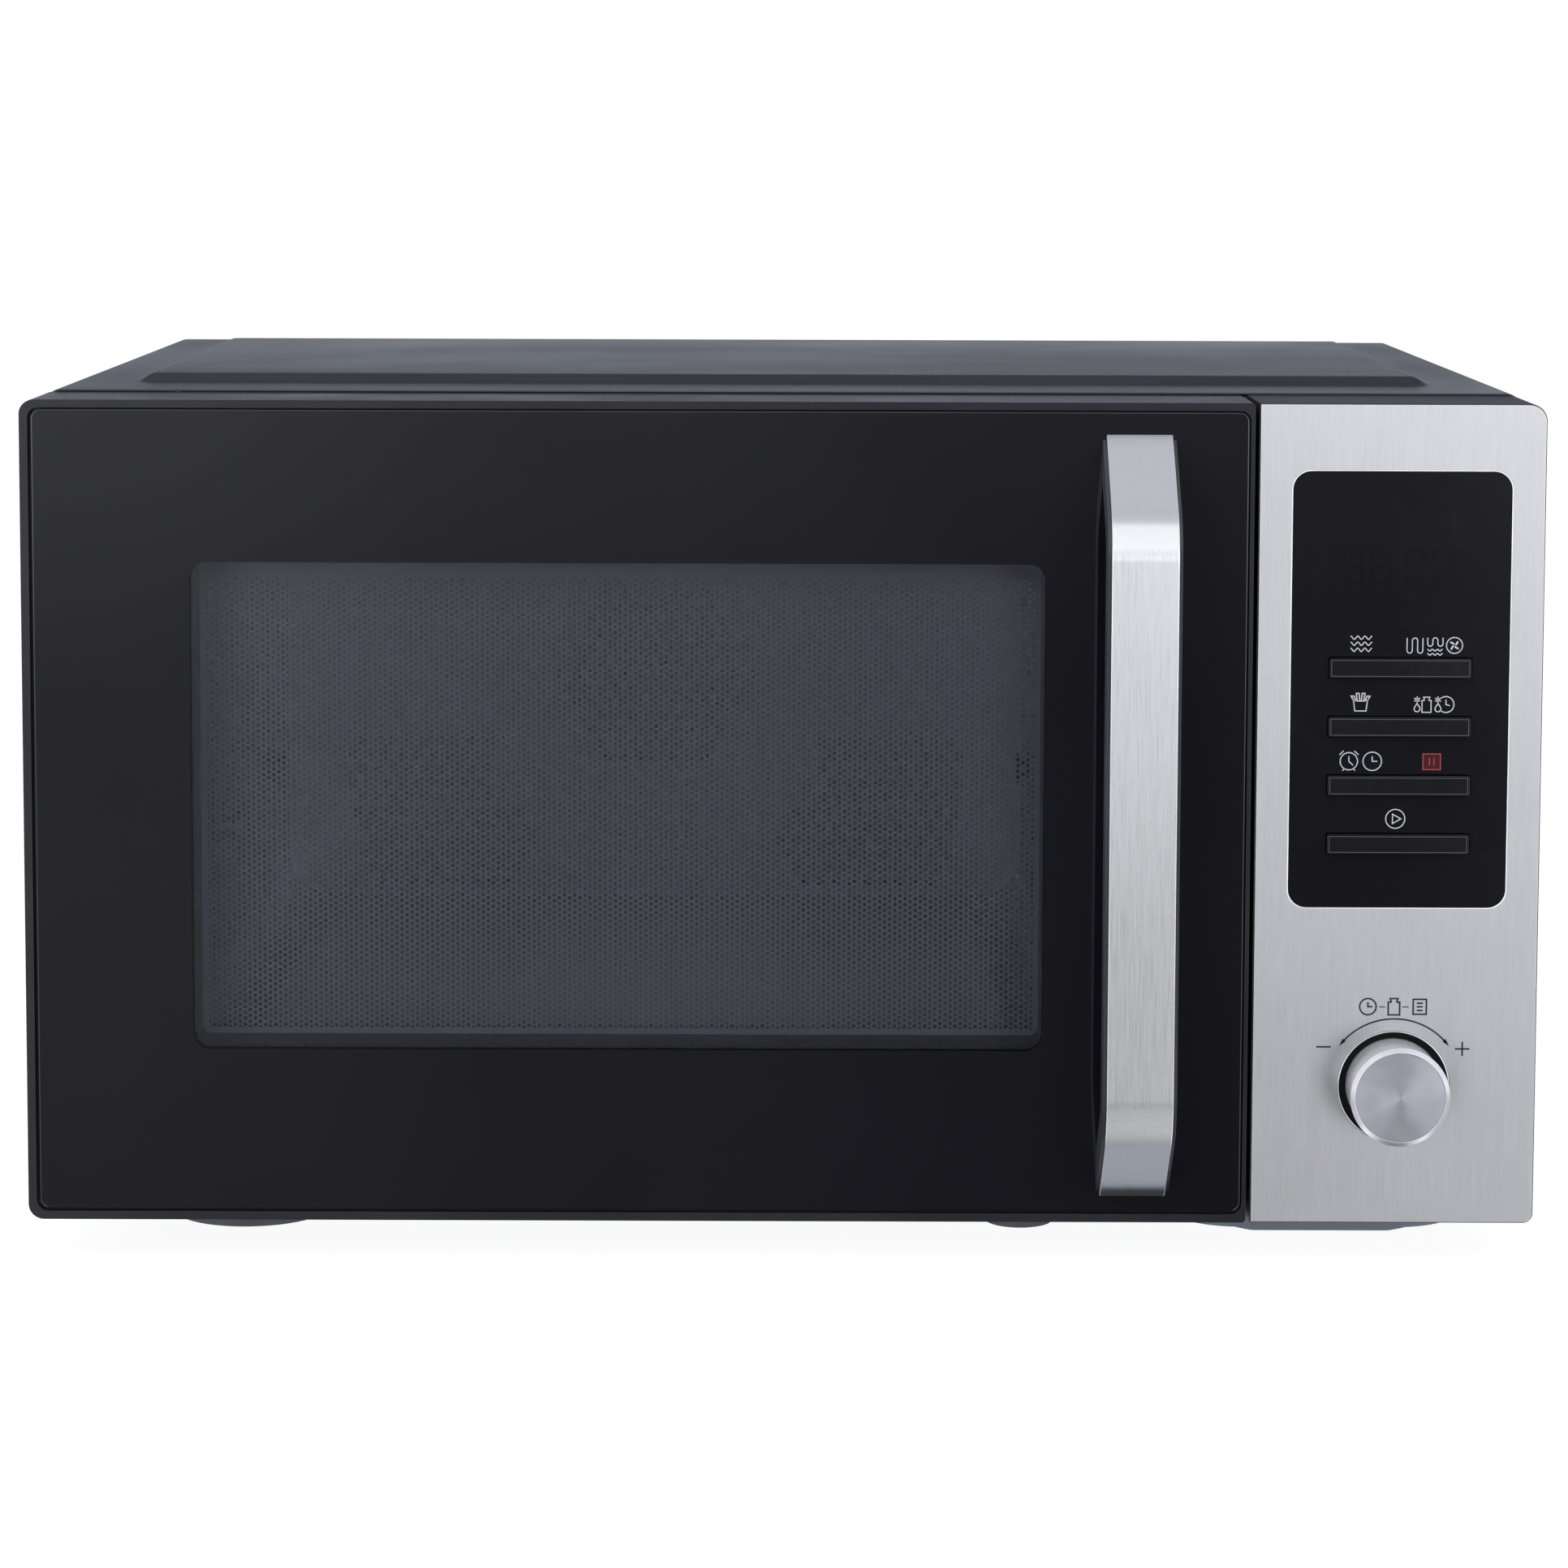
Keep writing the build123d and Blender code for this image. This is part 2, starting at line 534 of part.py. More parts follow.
with BuildPart() as cooling_fan_motor:
    block(COOL_X - 30, COOL_X + 30, 148, 176, COOL_Z - 25, COOL_Z + 25)
    block(COOL_X - COOL_HALF, COOL_X + COOL_HALF, 176, 182, COOL_Z - 5, COOL_Z + 5)
    rod_y(COOL_X, COOL_Z, COOL_SHAFT_R + RUNNING_GAP, 160, 183, mode=Mode.SUBTRACT)

with BuildPart() as cooling_fan_blade:
    rod_y(COOL_X, COOL_Z, COOL_SHAFT_R, 162, 190)
    rod_y(COOL_X, COOL_Z, 13, 186, 202)
    with Locations(Plane(origin=(COOL_X, 194, COOL_Z), z_dir=(0, 1, 0))):
        with PolarLocations(31, 5):
            Box(40, 20, 1.6, rotation=(30, 0, 0))

with BuildPart() as oven_lamp:
    rod_x(0, 245, 11, CAV_RIGHT + 2, CAV_RIGHT + 24)
    rod_x(0, 245, 8, CAV_RIGHT + 24, CAV_RIGHT + 40)

with BuildPart() as latch_board:
    block(161, 175, FRAME_BACK_Y, FRAME_BACK_Y + 2, 50, 270)
    block(161, 163, FRAME_BACK_Y + 2, -95, 61, 270)
    for shelf_z in (54, 234):
        block(147, 161, FRAME_BACK_Y, -115, shelf_z, shelf_z + 3)

with BuildPart() as interlock_switches:
    for switch_z in (62, 84, 242):
        block(150, 161, -124, -96, switch_z, switch_z + 16)

# ================================================================ hinges
with BuildPart() as hinge_brackets:
    for arm_z, plate_z in ((25, 19.2), (298, 285)):
        block(-264.4, -240, FRAME_BACK_Y, FRAME_BACK_Y + 2, plate_z, plate_z + 21.8)
        block(HINGE_X - 3.8, HINGE_X + 3.8, HINGE_Y, FRAME_BACK_Y + 1, arm_z, arm_z + 2)
        rod_z(HINGE_X, HINGE_Y, 3.8, arm_z, arm_z + 2)
        rod_z(HINGE_X, HINGE_Y, PIN_R, arm_z, arm_z + 2, mode=Mode.SUBTRACT)

with BuildPart() as hinge_pins:
    rod_z(HINGE_X, HINGE_Y, PIN_R, 25, 38.5)
    rod_z(HINGE_X, HINGE_Y, PIN_R, 286.5, 300)

with BuildPart() as hinge_bushes:
    for bush_z in BUSH_HEIGHTS:
        rod_z(HINGE_X, HINGE_Y, BUSH_R, bush_z, bush_z + BUSH_LENGTH)
        rod_z(HINGE_X, HINGE_Y, PIN_R + RUNNING_GAP, bush_z, bush_z + BUSH_LENGTH, mode=Mode.SUBTRACT)

# ================================================================ door
with BuildPart() as door_frame:
    with BuildSketch(front_plane(DOOR_BACK_Y)) as outline:
        with Locations(((DOOR_RIGHT - SIDE_X) / 2, FRONT_MID_Z)):
            Rectangle(DOOR_RIGHT + SIDE_X, FRONT_HEIGHT)
        fillet(outline.vertices().group_by(Axis.X)[0], 5.5)
        fillet(outline.vertices().group_by(Axis.X)[-1], 1.5)
    extrude(amount=FRONT_DEPTH)
    # The back corner at the hinge is rounded, so that it clears the frame as the door swings.
    with BuildSketch(Plane.XY):
        with Locations((-SIDE_X + 4, DOOR_BACK_Y - 4)):
            Rectangle(8, 8)
        with Locations((-SIDE_X + 8, DOOR_BACK_Y - 8)):
            Circle(8, mode=Mode.SUBTRACT)
    extrude(amount=FRONT_TOP + 5, mode=Mode.SUBTRACT)
    # Rebate for the glass, hollow back, and tunnel around the window.
    plate(-266.5, 165, 18, 307, FRONT_Y, GLASS_BACK_Y, 4, mode=Mode.SUBTRACT)
    plate(-266.5, 163.5, 18, 307, DOOR_FACE_BACK_Y, DOOR_BACK_Y, 4, mode=Mode.SUBTRACT)
    plate(
        WINDOW_LEFT - 2, WINDOW_RIGHT + 2, WINDOW_BOTTOM - 2, WINDOW_TOP + 2, DOOR_FACE_BACK_Y, SCREEN_Y, 5
    )
    plate(
        WINDOW_LEFT, WINDOW_RIGHT, WINDOW_BOTTOM, WINDOW_TOP, GLASS_BACK_Y, SCREEN_Y, 3, mode=Mode.SUBTRACT
    )
    # Hinge bosses, with slots that let the bracket arms pass.
    for boss_z in (28.5, 286):
        rod_z(HINGE_X, HINGE_Y, 6, boss_z, boss_z + 10.5)
        block(-268, HINGE_X, HINGE_Y - 5, HINGE_Y + 5, boss_z, boss_z + 10.5)
    for bush_z in BUSH_HEIGHTS:
        rod_z(HINGE_X, HINGE_Y, BUSH_R, bush_z, bush_z + BUSH_LENGTH, mode=Mode.SUBTRACT)
    rod_z(HINGE_X, HINGE_Y, BUSH_R, 286, 286.5, mode=Mode.SUBTRACT)
    rod_z(HINGE_X, HINGE_Y, BUSH_R, 38.5, 39, mode=Mode.SUBTRACT)
    for slot_z in (23.5, 296.5):
        block(-271, -255.5, -160.5, -141, slot_z, slot_z + 5, mode=Mode.SUBTRACT)
    # Guide ribs and spring stop of the latch slider, and holes for the handle screws.
    for rib_x in (147, 156.4):
        block(rib_x, rib_x + 2.6, DOOR_FACE_BACK_Y, -164, 140, 170)
    block(147, 159, DOOR_FACE_BACK_Y, -163, 283, 286)
    for z in HANDLE_SCREW_HEIGHTS:
        rod_y(HANDLE_X, z, HANDLE_SCREW_R + 0.2, GLASS_BACK_Y, DOOR_FACE_BACK_Y, mode=Mode.SUBTRACT)

with BuildPart() as door_glass:
    plate(-265.5, 164.6, 19, 306, FRONT_Y, GLASS_BACK_Y, 3.5)
    for z in HANDLE_SCREW_HEIGHTS:
        rod_y(HANDLE_X, z, HANDLE_SCREW_R + 0.2, FRONT_Y, GLASS_BACK_Y, mode=Mode.SUBTRACT)

with BuildPart() as door_screen:
    plate(-246, 138, 32, 293, SCREEN_Y, -147.5, 6)
    plate(-245, 137, 33, 292, SCREEN_Y + SCREEN_THICK, -147.5, 5, mode=Mode.SUBTRACT)

with BuildPart() as door_inner_glass:
    plate(WINDOW_LEFT - 4, WINDOW_RIGHT + 4, WINDOW_BOTTOM - 4, WINDOW_TOP + 4, -149.5, -146.5, 3)

with BuildPart() as choke_cover:
    plate(-252, 162.5, 24, 301, -146.5, -143.5, 4)
    plate(WINDOW_LEFT, WINDOW_RIGHT, WINDOW_BOTTOM, WINDOW_TOP, -146.5, -143.5, 3, mode=Mode.SUBTRACT)
    for arm_z in LATCH_ARM_HEIGHTS:
        block(LATCH_X - 6, LATCH_X + 6, -147, -143, arm_z - 9, arm_z + 15, mode=Mode.SUBTRACT)

with BuildPart() as handle_strap:
    with BuildSketch(Plane.YZ.offset(HANDLE_X - HANDLE_WIDTH / 2)):
        with BuildLine():
            strap_out = FilletPolyline(*handle_path(0), radius=HANDLE_BEND)
            strap_in = FilletPolyline(*handle_path(STRAP_THICK), radius=HANDLE_BEND - STRAP_THICK)
            Line(strap_out @ 0, strap_in @ 0)
            Line(strap_out @ 1, strap_in @ 1)
        make_face()
    extrude(amount=HANDLE_WIDTH)

with BuildPart() as handle_bar:
    with BuildSketch(Plane.YZ.offset(HANDLE_X - HANDLE_WIDTH / 2 - BAR_OVERHANG)):
        with BuildLine():
            bar_out = FilletPolyline(*handle_path(STRAP_THICK), radius=HANDLE_BEND - STRAP_THICK)
            bar_in = FilletPolyline(*handle_path(BAR_BACK), radius=HANDLE_BEND - BAR_BACK)
            Line(bar_out @ 0, bar_in @ 0)
            Line(bar_out @ 1, bar_in @ 1)
        make_face()
    extrude(amount=HANDLE_WIDTH + 2 * BAR_OVERHANG)
    for z in HANDLE_SCREW_HEIGHTS:
        rod_y(HANDLE_X, z, HANDLE_SCREW_R + RUNNING_GAP, -194, FRONT_Y, mode=Mode.SUBTRACT)

with BuildPart() as handle_screws:
    for z in HANDLE_SCREW_HEIGHTS:
        rod_y(HANDLE_X, z, HANDLE_SCREW_R, -193.5, DOOR_FACE_BACK_Y)
        rod_y(HANDLE_X, z, 4, DOOR_FACE_BACK_Y, DOOR_FACE_BACK_Y + 2.5)

with BuildPart() as latch_hooks:
    block(150, 156, -172, -166, 58, 262)
    for arm_z in LATCH_ARM_HEIGHTS:
        block(151, 155, -166, -128, arm_z, arm_z + 8)
        block(151, 155, -133, -128, arm_z - 6, arm_z)

with BuildPart() as latch_spring:
    with BuildLine(Plane(origin=(LATCH_X, -169, 262.5))) as coil:
        Helix(pitch=3.2, height=20, radius=2.4)
    with BuildSketch(Plane(origin=coil.line @ 0, z_dir=coil.line % 0)):
        Circle(0.4)
    sweep()

# ================================================================ control panel
with BuildPart() as control_panel_body:
    with BuildSketch(front_plane(FRAME_Y)) as outline:
        with Locations(((PANEL_LEFT + SIDE_X) / 2, FRONT_MID_Z)):
            Rectangle(SIDE_X - PANEL_LEFT, FRONT_HEIGHT)
        fillet(outline.vertices().group_by(Axis.X)[-1].sort_by(Axis.Y)[-1], 6.5)
        fillet(outline.vertices().group_by(Axis.X)[-1].sort_by(Axis.Y)[0], 3.5)
    extrude(amount=FRAME_Y - PANEL_FACE_Y)
    block(
        PANEL_LEFT + PANEL_WALL, SIDE_X - PANEL_WALL, PANEL_FACE_Y + 3, FRAME_Y,
        FRONT_BOTTOM + PANEL_WALL, FRONT_TOP - PANEL_WALL, mode=Mode.SUBTRACT,
    )
    # Rebate and opening of the display lens.
    plate(
        CONTROL_X - LENS_W / 2, CONTROL_X + LENS_W / 2, LENS_BOTTOM, LENS_TOP,
        PANEL_FACE_Y, PANEL_FACE_Y + 2, LENS_RADIUS, mode=Mode.SUBTRACT,
    )
    block(186, 251.5, PANEL_FACE_Y + 2, PANEL_FACE_Y + 3, 140, 275, mode=Mode.SUBTRACT)
    # Cup behind the knob.
    rod_y(CONTROL_X, KNOB_Z, 23, PANEL_FACE_Y + 1, PANEL_FACE_Y + 5)
    rod_y(CONTROL_X, KNOB_Z, RECESS_R, PANEL_FACE_Y, PANEL_FACE_Y + 3, mode=Mode.SUBTRACT)
    rod_y(CONTROL_X, KNOB_Z, 8, PANEL_FACE_Y + 3, PANEL_FACE_Y + 5, mode=Mode.SUBTRACT)

with BuildPart() as control_fascia:
    with BuildSketch(front_plane(PANEL_FACE_Y)) as outline:
        with Locations(((PANEL_LEFT + SIDE_X) / 2, FRONT_MID_Z)):
            Rectangle(SIDE_X - PANEL_LEFT - 0.8, FRONT_HEIGHT - 0.8)
        fillet(outline.vertices().group_by(Axis.X)[-1].sort_by(Axis.Y)[-1], 6.1)
        fillet(outline.vertices().group_by(Axis.X)[-1].sort_by(Axis.Y)[0], 3.1)
        with Locations((CONTROL_X, (LENS_BOTTOM + LENS_TOP) / 2)):
            RectangleRounded(LENS_W, LENS_TOP - LENS_BOTTOM, LENS_RADIUS, mode=Mode.SUBTRACT)
        with Locations((CONTROL_X, KNOB_Z)):
            Circle(RECESS_R, mode=Mode.SUBTRACT)
    extrude(amount=FASCIA_THICK)

with BuildPart() as display_lens:
    plate(
        CONTROL_X - LENS_W / 2 + 0.15, CONTROL_X + LENS_W / 2 - 0.15, LENS_BOTTOM + 0.15, LENS_TOP - 0.15,
        LENS_Y, LENS_Y + LENS_THICK, LENS_RADIUS - 0.15,
    )
    for z in KEY_HEIGHTS:
        plate(
            CONTROL_X - KEY_SLOT_W / 2, CONTROL_X + KEY_SLOT_W / 2, z - KEY_SLOT_H / 2, z + KEY_SLOT_H / 2,
            LENS_Y, LENS_Y + LENS_THICK, 1, mode=Mode.SUBTRACT,
        )

with BuildPart() as display_module:
    block(192, 245.5, LENS_Y + LENS_THICK, BOARD_Y, 236, 268)

with BuildPart() as control_board:
    block(174, 263, BOARD_Y, BOARD_Y + 1.6, 45, 300)
    for z in KEY_HEIGHTS[:3]:
        for x in (CONTROL_X - 20, CONTROL_X + 20):
            block(x - 3, x + 3, -179, BOARD_Y, z - 3, z + 3)
    block(CONTROL_X - 3, CONTROL_X + 3, -179, BOARD_Y, KEY_HEIGHTS[3] - 3, KEY_HEIGHTS[3] + 3)


def bar_key(z, peg_offsets):
    """Bar key: the cap that shows, a flange behind the lens, and pegs that reach the switches."""
    plate(
        CONTROL_X - KEY_W / 2, CONTROL_X + KEY_W / 2, z - KEY_H / 2, z + KEY_H / 2, -189, KEY_PIVOT_Y, 0.8
    )
    block(CONTROL_X - 27, CONTROL_X + 27, -183, -181.8, z - 5, z + 5)
    for offset in peg_offsets:
        rod_y(CONTROL_X + offset, z, 1.5, -181.8, -180.5)


with BuildPart() as function_key:
    bar_key(KEY_HEIGHTS[0], (-20, 20))

with BuildPart() as programme_key:
    bar_key(KEY_HEIGHTS[1], (-20, 20))

with BuildPart() as clock_stop_key:
    bar_key(KEY_HEIGHTS[2], (-20, 20))

with BuildPart() as start_key:
    bar_key(KEY_HEIGHTS[3], (0,))

with BuildPart() as knob_bezel:
    turned_y(
        [
            (RECESS_R, FRONT_Y), (RECESS_R - 1.7, FRONT_Y + 3), (RECESS_R - 1.7, PANEL_FACE_Y + 3),
            (RECESS_R, PANEL_FACE_Y + 3),
        ],
        CONTROL_X, KNOB_Z,
    )

knob_front = FRONT_Y - KNOB_REACH
knob_back = FRONT_Y + 4.5 - 1.0
with BuildPart() as knob_body:
    turned_y(
        [
            (3, knob_back), (KNOB_R, knob_back), (KNOB_R - 0.5, knob_front + 3), (KNOB_FACE_R, knob_front + 2),
            (KNOB_FACE_R, knob_front + 0.6), (KNOB_FACE_R - 0.6, knob_front), (CAP_R, knob_front),
            (CAP_R, knob_front + 0.6), (0, knob_front + 0.6), (0, -200), (3, -200),
        ],
        CONTROL_X, KNOB_Z,
    )

with BuildPart() as knob_cap:
    rod_y(CONTROL_X, KNOB_Z, CAP_R, knob_front, knob_front + 0.6)

with BuildPart() as encoder_shaft:
    rod_y(CONTROL_X, KNOB_Z, 3, -200, -174)

with BuildPart() as encoder_body:
    block(CONTROL_X - 7, CONTROL_X + 7, -181, BOARD_Y, KNOB_Z - 7, KNOB_Z + 7)
    rod_y(CONTROL_X, KNOB_Z, 3 + RUNNING_GAP, -181, -173.5, mode=Mode.SUBTRACT)

# ================================================================ files
pieces = {
    "outer_casing": outer_casing,
    "front_frame": front_frame,
    "base_plate": base_plate,
    "feet": feet,
    "rear_panel": rear_panel,
    "rear_fan_cover": rear_fan_cover,
    "casing_screws": casing_screws,
    "cord_inlet": cord_inlet,
    "oven_cavity": oven_cavity,
    "cavity_back": cavity_back,
    "rack_studs": rack_studs,
    "ceramic_floor": ceramic_floor,
    "floor_seal": floor_seal,
    "grill_element": grill_element,
    "grill_clips": grill_clips,
    "mode_stirrer": mode_stirrer,
    "stirrer_motor": stirrer_motor,
    "waveguide": waveguide,
    "hot_air_housing": hot_air_housing,
    "convection_heater": convection_heater,
    "hot_air_fan": hot_air_fan,
    "hot_air_motor": hot_air_motor,
    "magnetron": magnetron,
    "transformer_core": transformer_core,
    "transformer_windings": transformer_windings,
    "capacitor": capacitor,
    "filter_board": filter_board,
    "fan_shroud": fan_shroud,
    "cooling_fan_motor": cooling_fan_motor,
    "cooling_fan_blade": cooling_fan_blade,
    "oven_lamp": oven_lamp,
    "latch_board": latch_board,
    "interlock_switches": interlock_switches,
    "hinge_brackets": hinge_brackets,
    "hinge_pins": hinge_pins,
    "hinge_bushes": hinge_bushes,
    "door_frame": door_frame,
    "door_glass": door_glass,
    "door_screen": door_screen,
    "door_inner_glass": door_inner_glass,
    "choke_cover": choke_cover,
    "handle_strap": handle_strap,
    "handle_bar": handle_bar,
    "handle_screws": handle_screws,
    "latch_hooks": latch_hooks,
    "latch_spring": latch_spring,
    "control_panel_body": control_panel_body,
    "control_fascia": control_fascia,
    "display_lens": display_lens,
    "display_module": display_module,
    "control_board": control_board,
    "function_key": function_key,
    "programme_key": programme_key,
    "clock_stop_key": clock_stop_key,
    "start_key": start_key,
    "knob_bezel": knob_bezel,
    "knob_body": knob_body,
    "knob_cap": knob_cap,
    "encoder_shaft": encoder_shaft,
    "encoder_body": encoder_body,
}

os.makedirs("parts", exist_ok=True)
for name, piece in pieces.items():
    piece.part.label = name
    export_step(piece.part, f"parts/{name}.step")
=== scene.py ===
"""The looks of a countertop microwave oven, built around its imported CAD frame.

Every size is in millimetres in the row frame and turned to metres by MM where a mesh is made.
"""

import json
from math import copysign, cos, hypot, radians, sin, sqrt, tau

import bmesh
import bpy
import numpy as np
from mathutils import Matrix, Vector

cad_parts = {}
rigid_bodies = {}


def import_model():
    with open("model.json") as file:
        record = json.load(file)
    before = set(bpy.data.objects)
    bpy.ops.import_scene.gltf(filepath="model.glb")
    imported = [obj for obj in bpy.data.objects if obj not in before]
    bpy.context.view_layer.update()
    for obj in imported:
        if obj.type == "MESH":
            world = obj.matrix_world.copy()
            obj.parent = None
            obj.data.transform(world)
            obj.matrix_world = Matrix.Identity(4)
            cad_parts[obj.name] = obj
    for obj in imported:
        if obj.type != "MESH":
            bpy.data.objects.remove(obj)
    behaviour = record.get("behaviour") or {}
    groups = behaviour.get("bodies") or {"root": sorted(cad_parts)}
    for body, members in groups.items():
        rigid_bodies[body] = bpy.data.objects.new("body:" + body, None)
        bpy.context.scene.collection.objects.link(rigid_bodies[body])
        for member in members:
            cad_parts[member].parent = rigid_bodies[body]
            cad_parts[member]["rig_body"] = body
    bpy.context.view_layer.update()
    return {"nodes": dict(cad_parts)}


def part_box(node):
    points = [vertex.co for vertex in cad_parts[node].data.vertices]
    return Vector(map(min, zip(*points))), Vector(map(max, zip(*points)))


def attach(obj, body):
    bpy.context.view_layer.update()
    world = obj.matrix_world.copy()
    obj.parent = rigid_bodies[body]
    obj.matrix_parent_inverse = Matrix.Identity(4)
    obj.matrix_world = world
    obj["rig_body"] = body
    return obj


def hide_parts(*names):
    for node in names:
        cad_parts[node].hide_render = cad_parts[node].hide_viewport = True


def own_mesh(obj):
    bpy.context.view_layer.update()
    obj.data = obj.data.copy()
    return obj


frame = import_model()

MM = 0.001
MERGE = 0.002  # points closer than this are one point
SMOOTH_ANGLE = 35.0  # degrees between faces that shade as one
NODES = frame["nodes"]

BODY_OF = {name: obj["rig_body"] for name, obj in NODES.items()}
SLOT_OF = {name: obj.data.materials[0].name for name, obj in NODES.items()}


# ---------- mesh helpers


def box_mm(node):
    """x0, x1, y0, y1, z0, z1 of a CAD node in millimetres."""
    low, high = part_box(node)
    return tuple(v for pair in zip(low / MM, high / MM) for v in pair)


def make_mesh(name, points, faces):
    mesh = bpy.data.meshes.new(name)
    mesh.from_pydata([Vector(p) * MM for p in points], [], faces)
    return mesh


def clean(mesh, smooth=SMOOTH_ANGLE, merge=MERGE):
    """Joins double points, turns the faces outward and smooths edges below an angle."""
    bm = bmesh.new()
    bm.from_mesh(mesh)
    bmesh.ops.remove_doubles(bm, verts=bm.verts, dist=merge * MM)
    bmesh.ops.recalc_face_normals(bm, faces=bm.faces)
    bm.to_mesh(mesh)
    bm.free()
    mesh.shade_smooth()
    mesh.set_sharp_from_angle(angle=radians(smooth))
    return mesh


def add_piece(name, mesh, body, finish, slot=None, stands_for=None):
    """Puts a mesh in the scene as a piece of the object, riding on a body."""
    obj = bpy.data.objects.new(name, mesh)
    bpy.context.scene.collection.objects.link(obj)
    for material in finish if isinstance(finish, list) else [finish]:
        obj.data.materials.append(material)
    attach(obj, body)
    if stands_for:
        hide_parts(stands_for)
        slot = slot or SLOT_OF[stands_for]
    return obj


def even_shading(obj):
    """Large faces keep flat shading while the rounded edges beside them stay smooth."""
    made = obj.modifiers.new("even", "WEIGHTED_NORMAL")
    made.mode = "FACE_AREA"
    made.weight = 50
    made.keep_sharp = True
    return obj


def loft(rings, first_cap=True, last_cap=True):
    """Points and faces of a skin through closed rings with equal point counts."""
    count = len(rings[0])
    points = [p for one in rings for p in one]
    faces = []
    for i in range(len(rings) - 1):
        low = i * count
        high = low + count
        for k in range(count):
            n = (k + 1) % count
            faces.append((low + k, low + n, high + n, high + k))
    if first_cap:
        faces.append(tuple(reversed(range(count))))
    if last_cap:
        faces.append(tuple(range(len(points) - count, len(points))))
    return points, faces


def round_ring(x0, x1, z0, z1, radius, y, steps=6):
    """A rounded rectangle facing -Y, as a closed ring of points."""
    radius = max(radius, 0.01)
    corners = (
        (x1 - radius, z0 + radius, -90),
        (x1 - radius, z1 - radius, 0),
        (x0 + radius, z1 - radius, 90),
        (x0 + radius, z0 + radius, 180),
    )
    return [(x, y, z) for cx, cz, start in corners for x, z in arc(cx, cz, radius, start, start + 90, steps)]


def slab(x0, x1, y0, y1, z0, z1, radius, edge, steps=4):
    """A plate between y0 (front) and y1 with rounded corners and rounded front and back edges."""
    angles = [radians(90 * k / steps) for k in range(steps + 1)]
    stations = [(edge * (1 - sin(a)), y0 + edge * (1 - cos(a))) for a in angles]
    stations += [(edge * (1 - cos(a)), y1 - edge * (1 - sin(a))) for a in angles]
    return loft([
        round_ring(x0 + inset, x1 - inset, z0 + inset, z1 - inset, radius - inset, y) for inset, y in stations
    ])


def lathe(profile, x, z, segments=96, closed=False):
    """Turns (radius, y) points round an axis parallel to Y through x, z."""
    around = [tau * k / segments for k in range(segments)]
    stations = profile + profile[:1] * closed
    rings = [[(x + r * cos(a), y, z + r * sin(a)) for a in around] for r, y in stations]
    return loft(rings, first_cap=not closed, last_cap=not closed)


def arc(cx, cz, radius, start, end, steps=24):
    """Points on an arc in the front plane, angles in degrees from +X towards +Z."""
    angles = [radians(start + (end - start) * k / steps) for k in range(steps + 1)]
    return [(cx + radius * cos(a), cz + radius * sin(a)) for a in angles]


TOP_SHADOW = 0.8  # how far the door and panel tops sit below the casing's front edge
TOP_ZONE = 12.0  # the height below a part's top over which it sinks
FLAT_ANGLE = 0.6  # degrees between triangles that count as one face
HARD_ANGLE = 38.0  # degrees between faces whose edge is rounded


def softened(node, width, finish, segments=2, sink=0.0):
    """A copy of a CAD part whose hard edges are rounded over, standing for that part."""
    source = NODES[node].data
    mesh = bpy.data.meshes.new(node + "_soft")
    mesh.from_pydata([v.co.copy() for v in source.vertices], [], [tuple(p.vertices) for p in source.polygons])
    bm = bmesh.new()
    bm.from_mesh(mesh)
    bmesh.ops.remove_doubles(bm, verts=bm.verts, dist=MERGE * MM)
    bmesh.ops.dissolve_limit(
        bm, angle_limit=radians(FLAT_ANGLE), verts=bm.verts, edges=bm.edges, delimit=set()
    )
    start = box_mm(node)[5] - TOP_ZONE
    for v in bm.verts:
        v.co.z -= sink * MM * max(0.0, (v.co.z / MM - start) / TOP_ZONE)
    limit = radians(HARD_ANGLE)
    hard = [e for e in bm.edges if len(e.link_faces) == 2 and e.calc_face_angle(0) > limit]
    bmesh.ops.bevel(
        bm, geom=hard, offset=width * MM, offset_type="OFFSET", segments=segments, profile=0.5,
        affect="EDGES", clamp_overlap=True,
    )
    bm.to_mesh(mesh)
    bm.free()
    return even_shading(add_piece(node + "_soft", clean(mesh), BODY_OF[node], finish, stands_for=node))


# ---------- material helpers


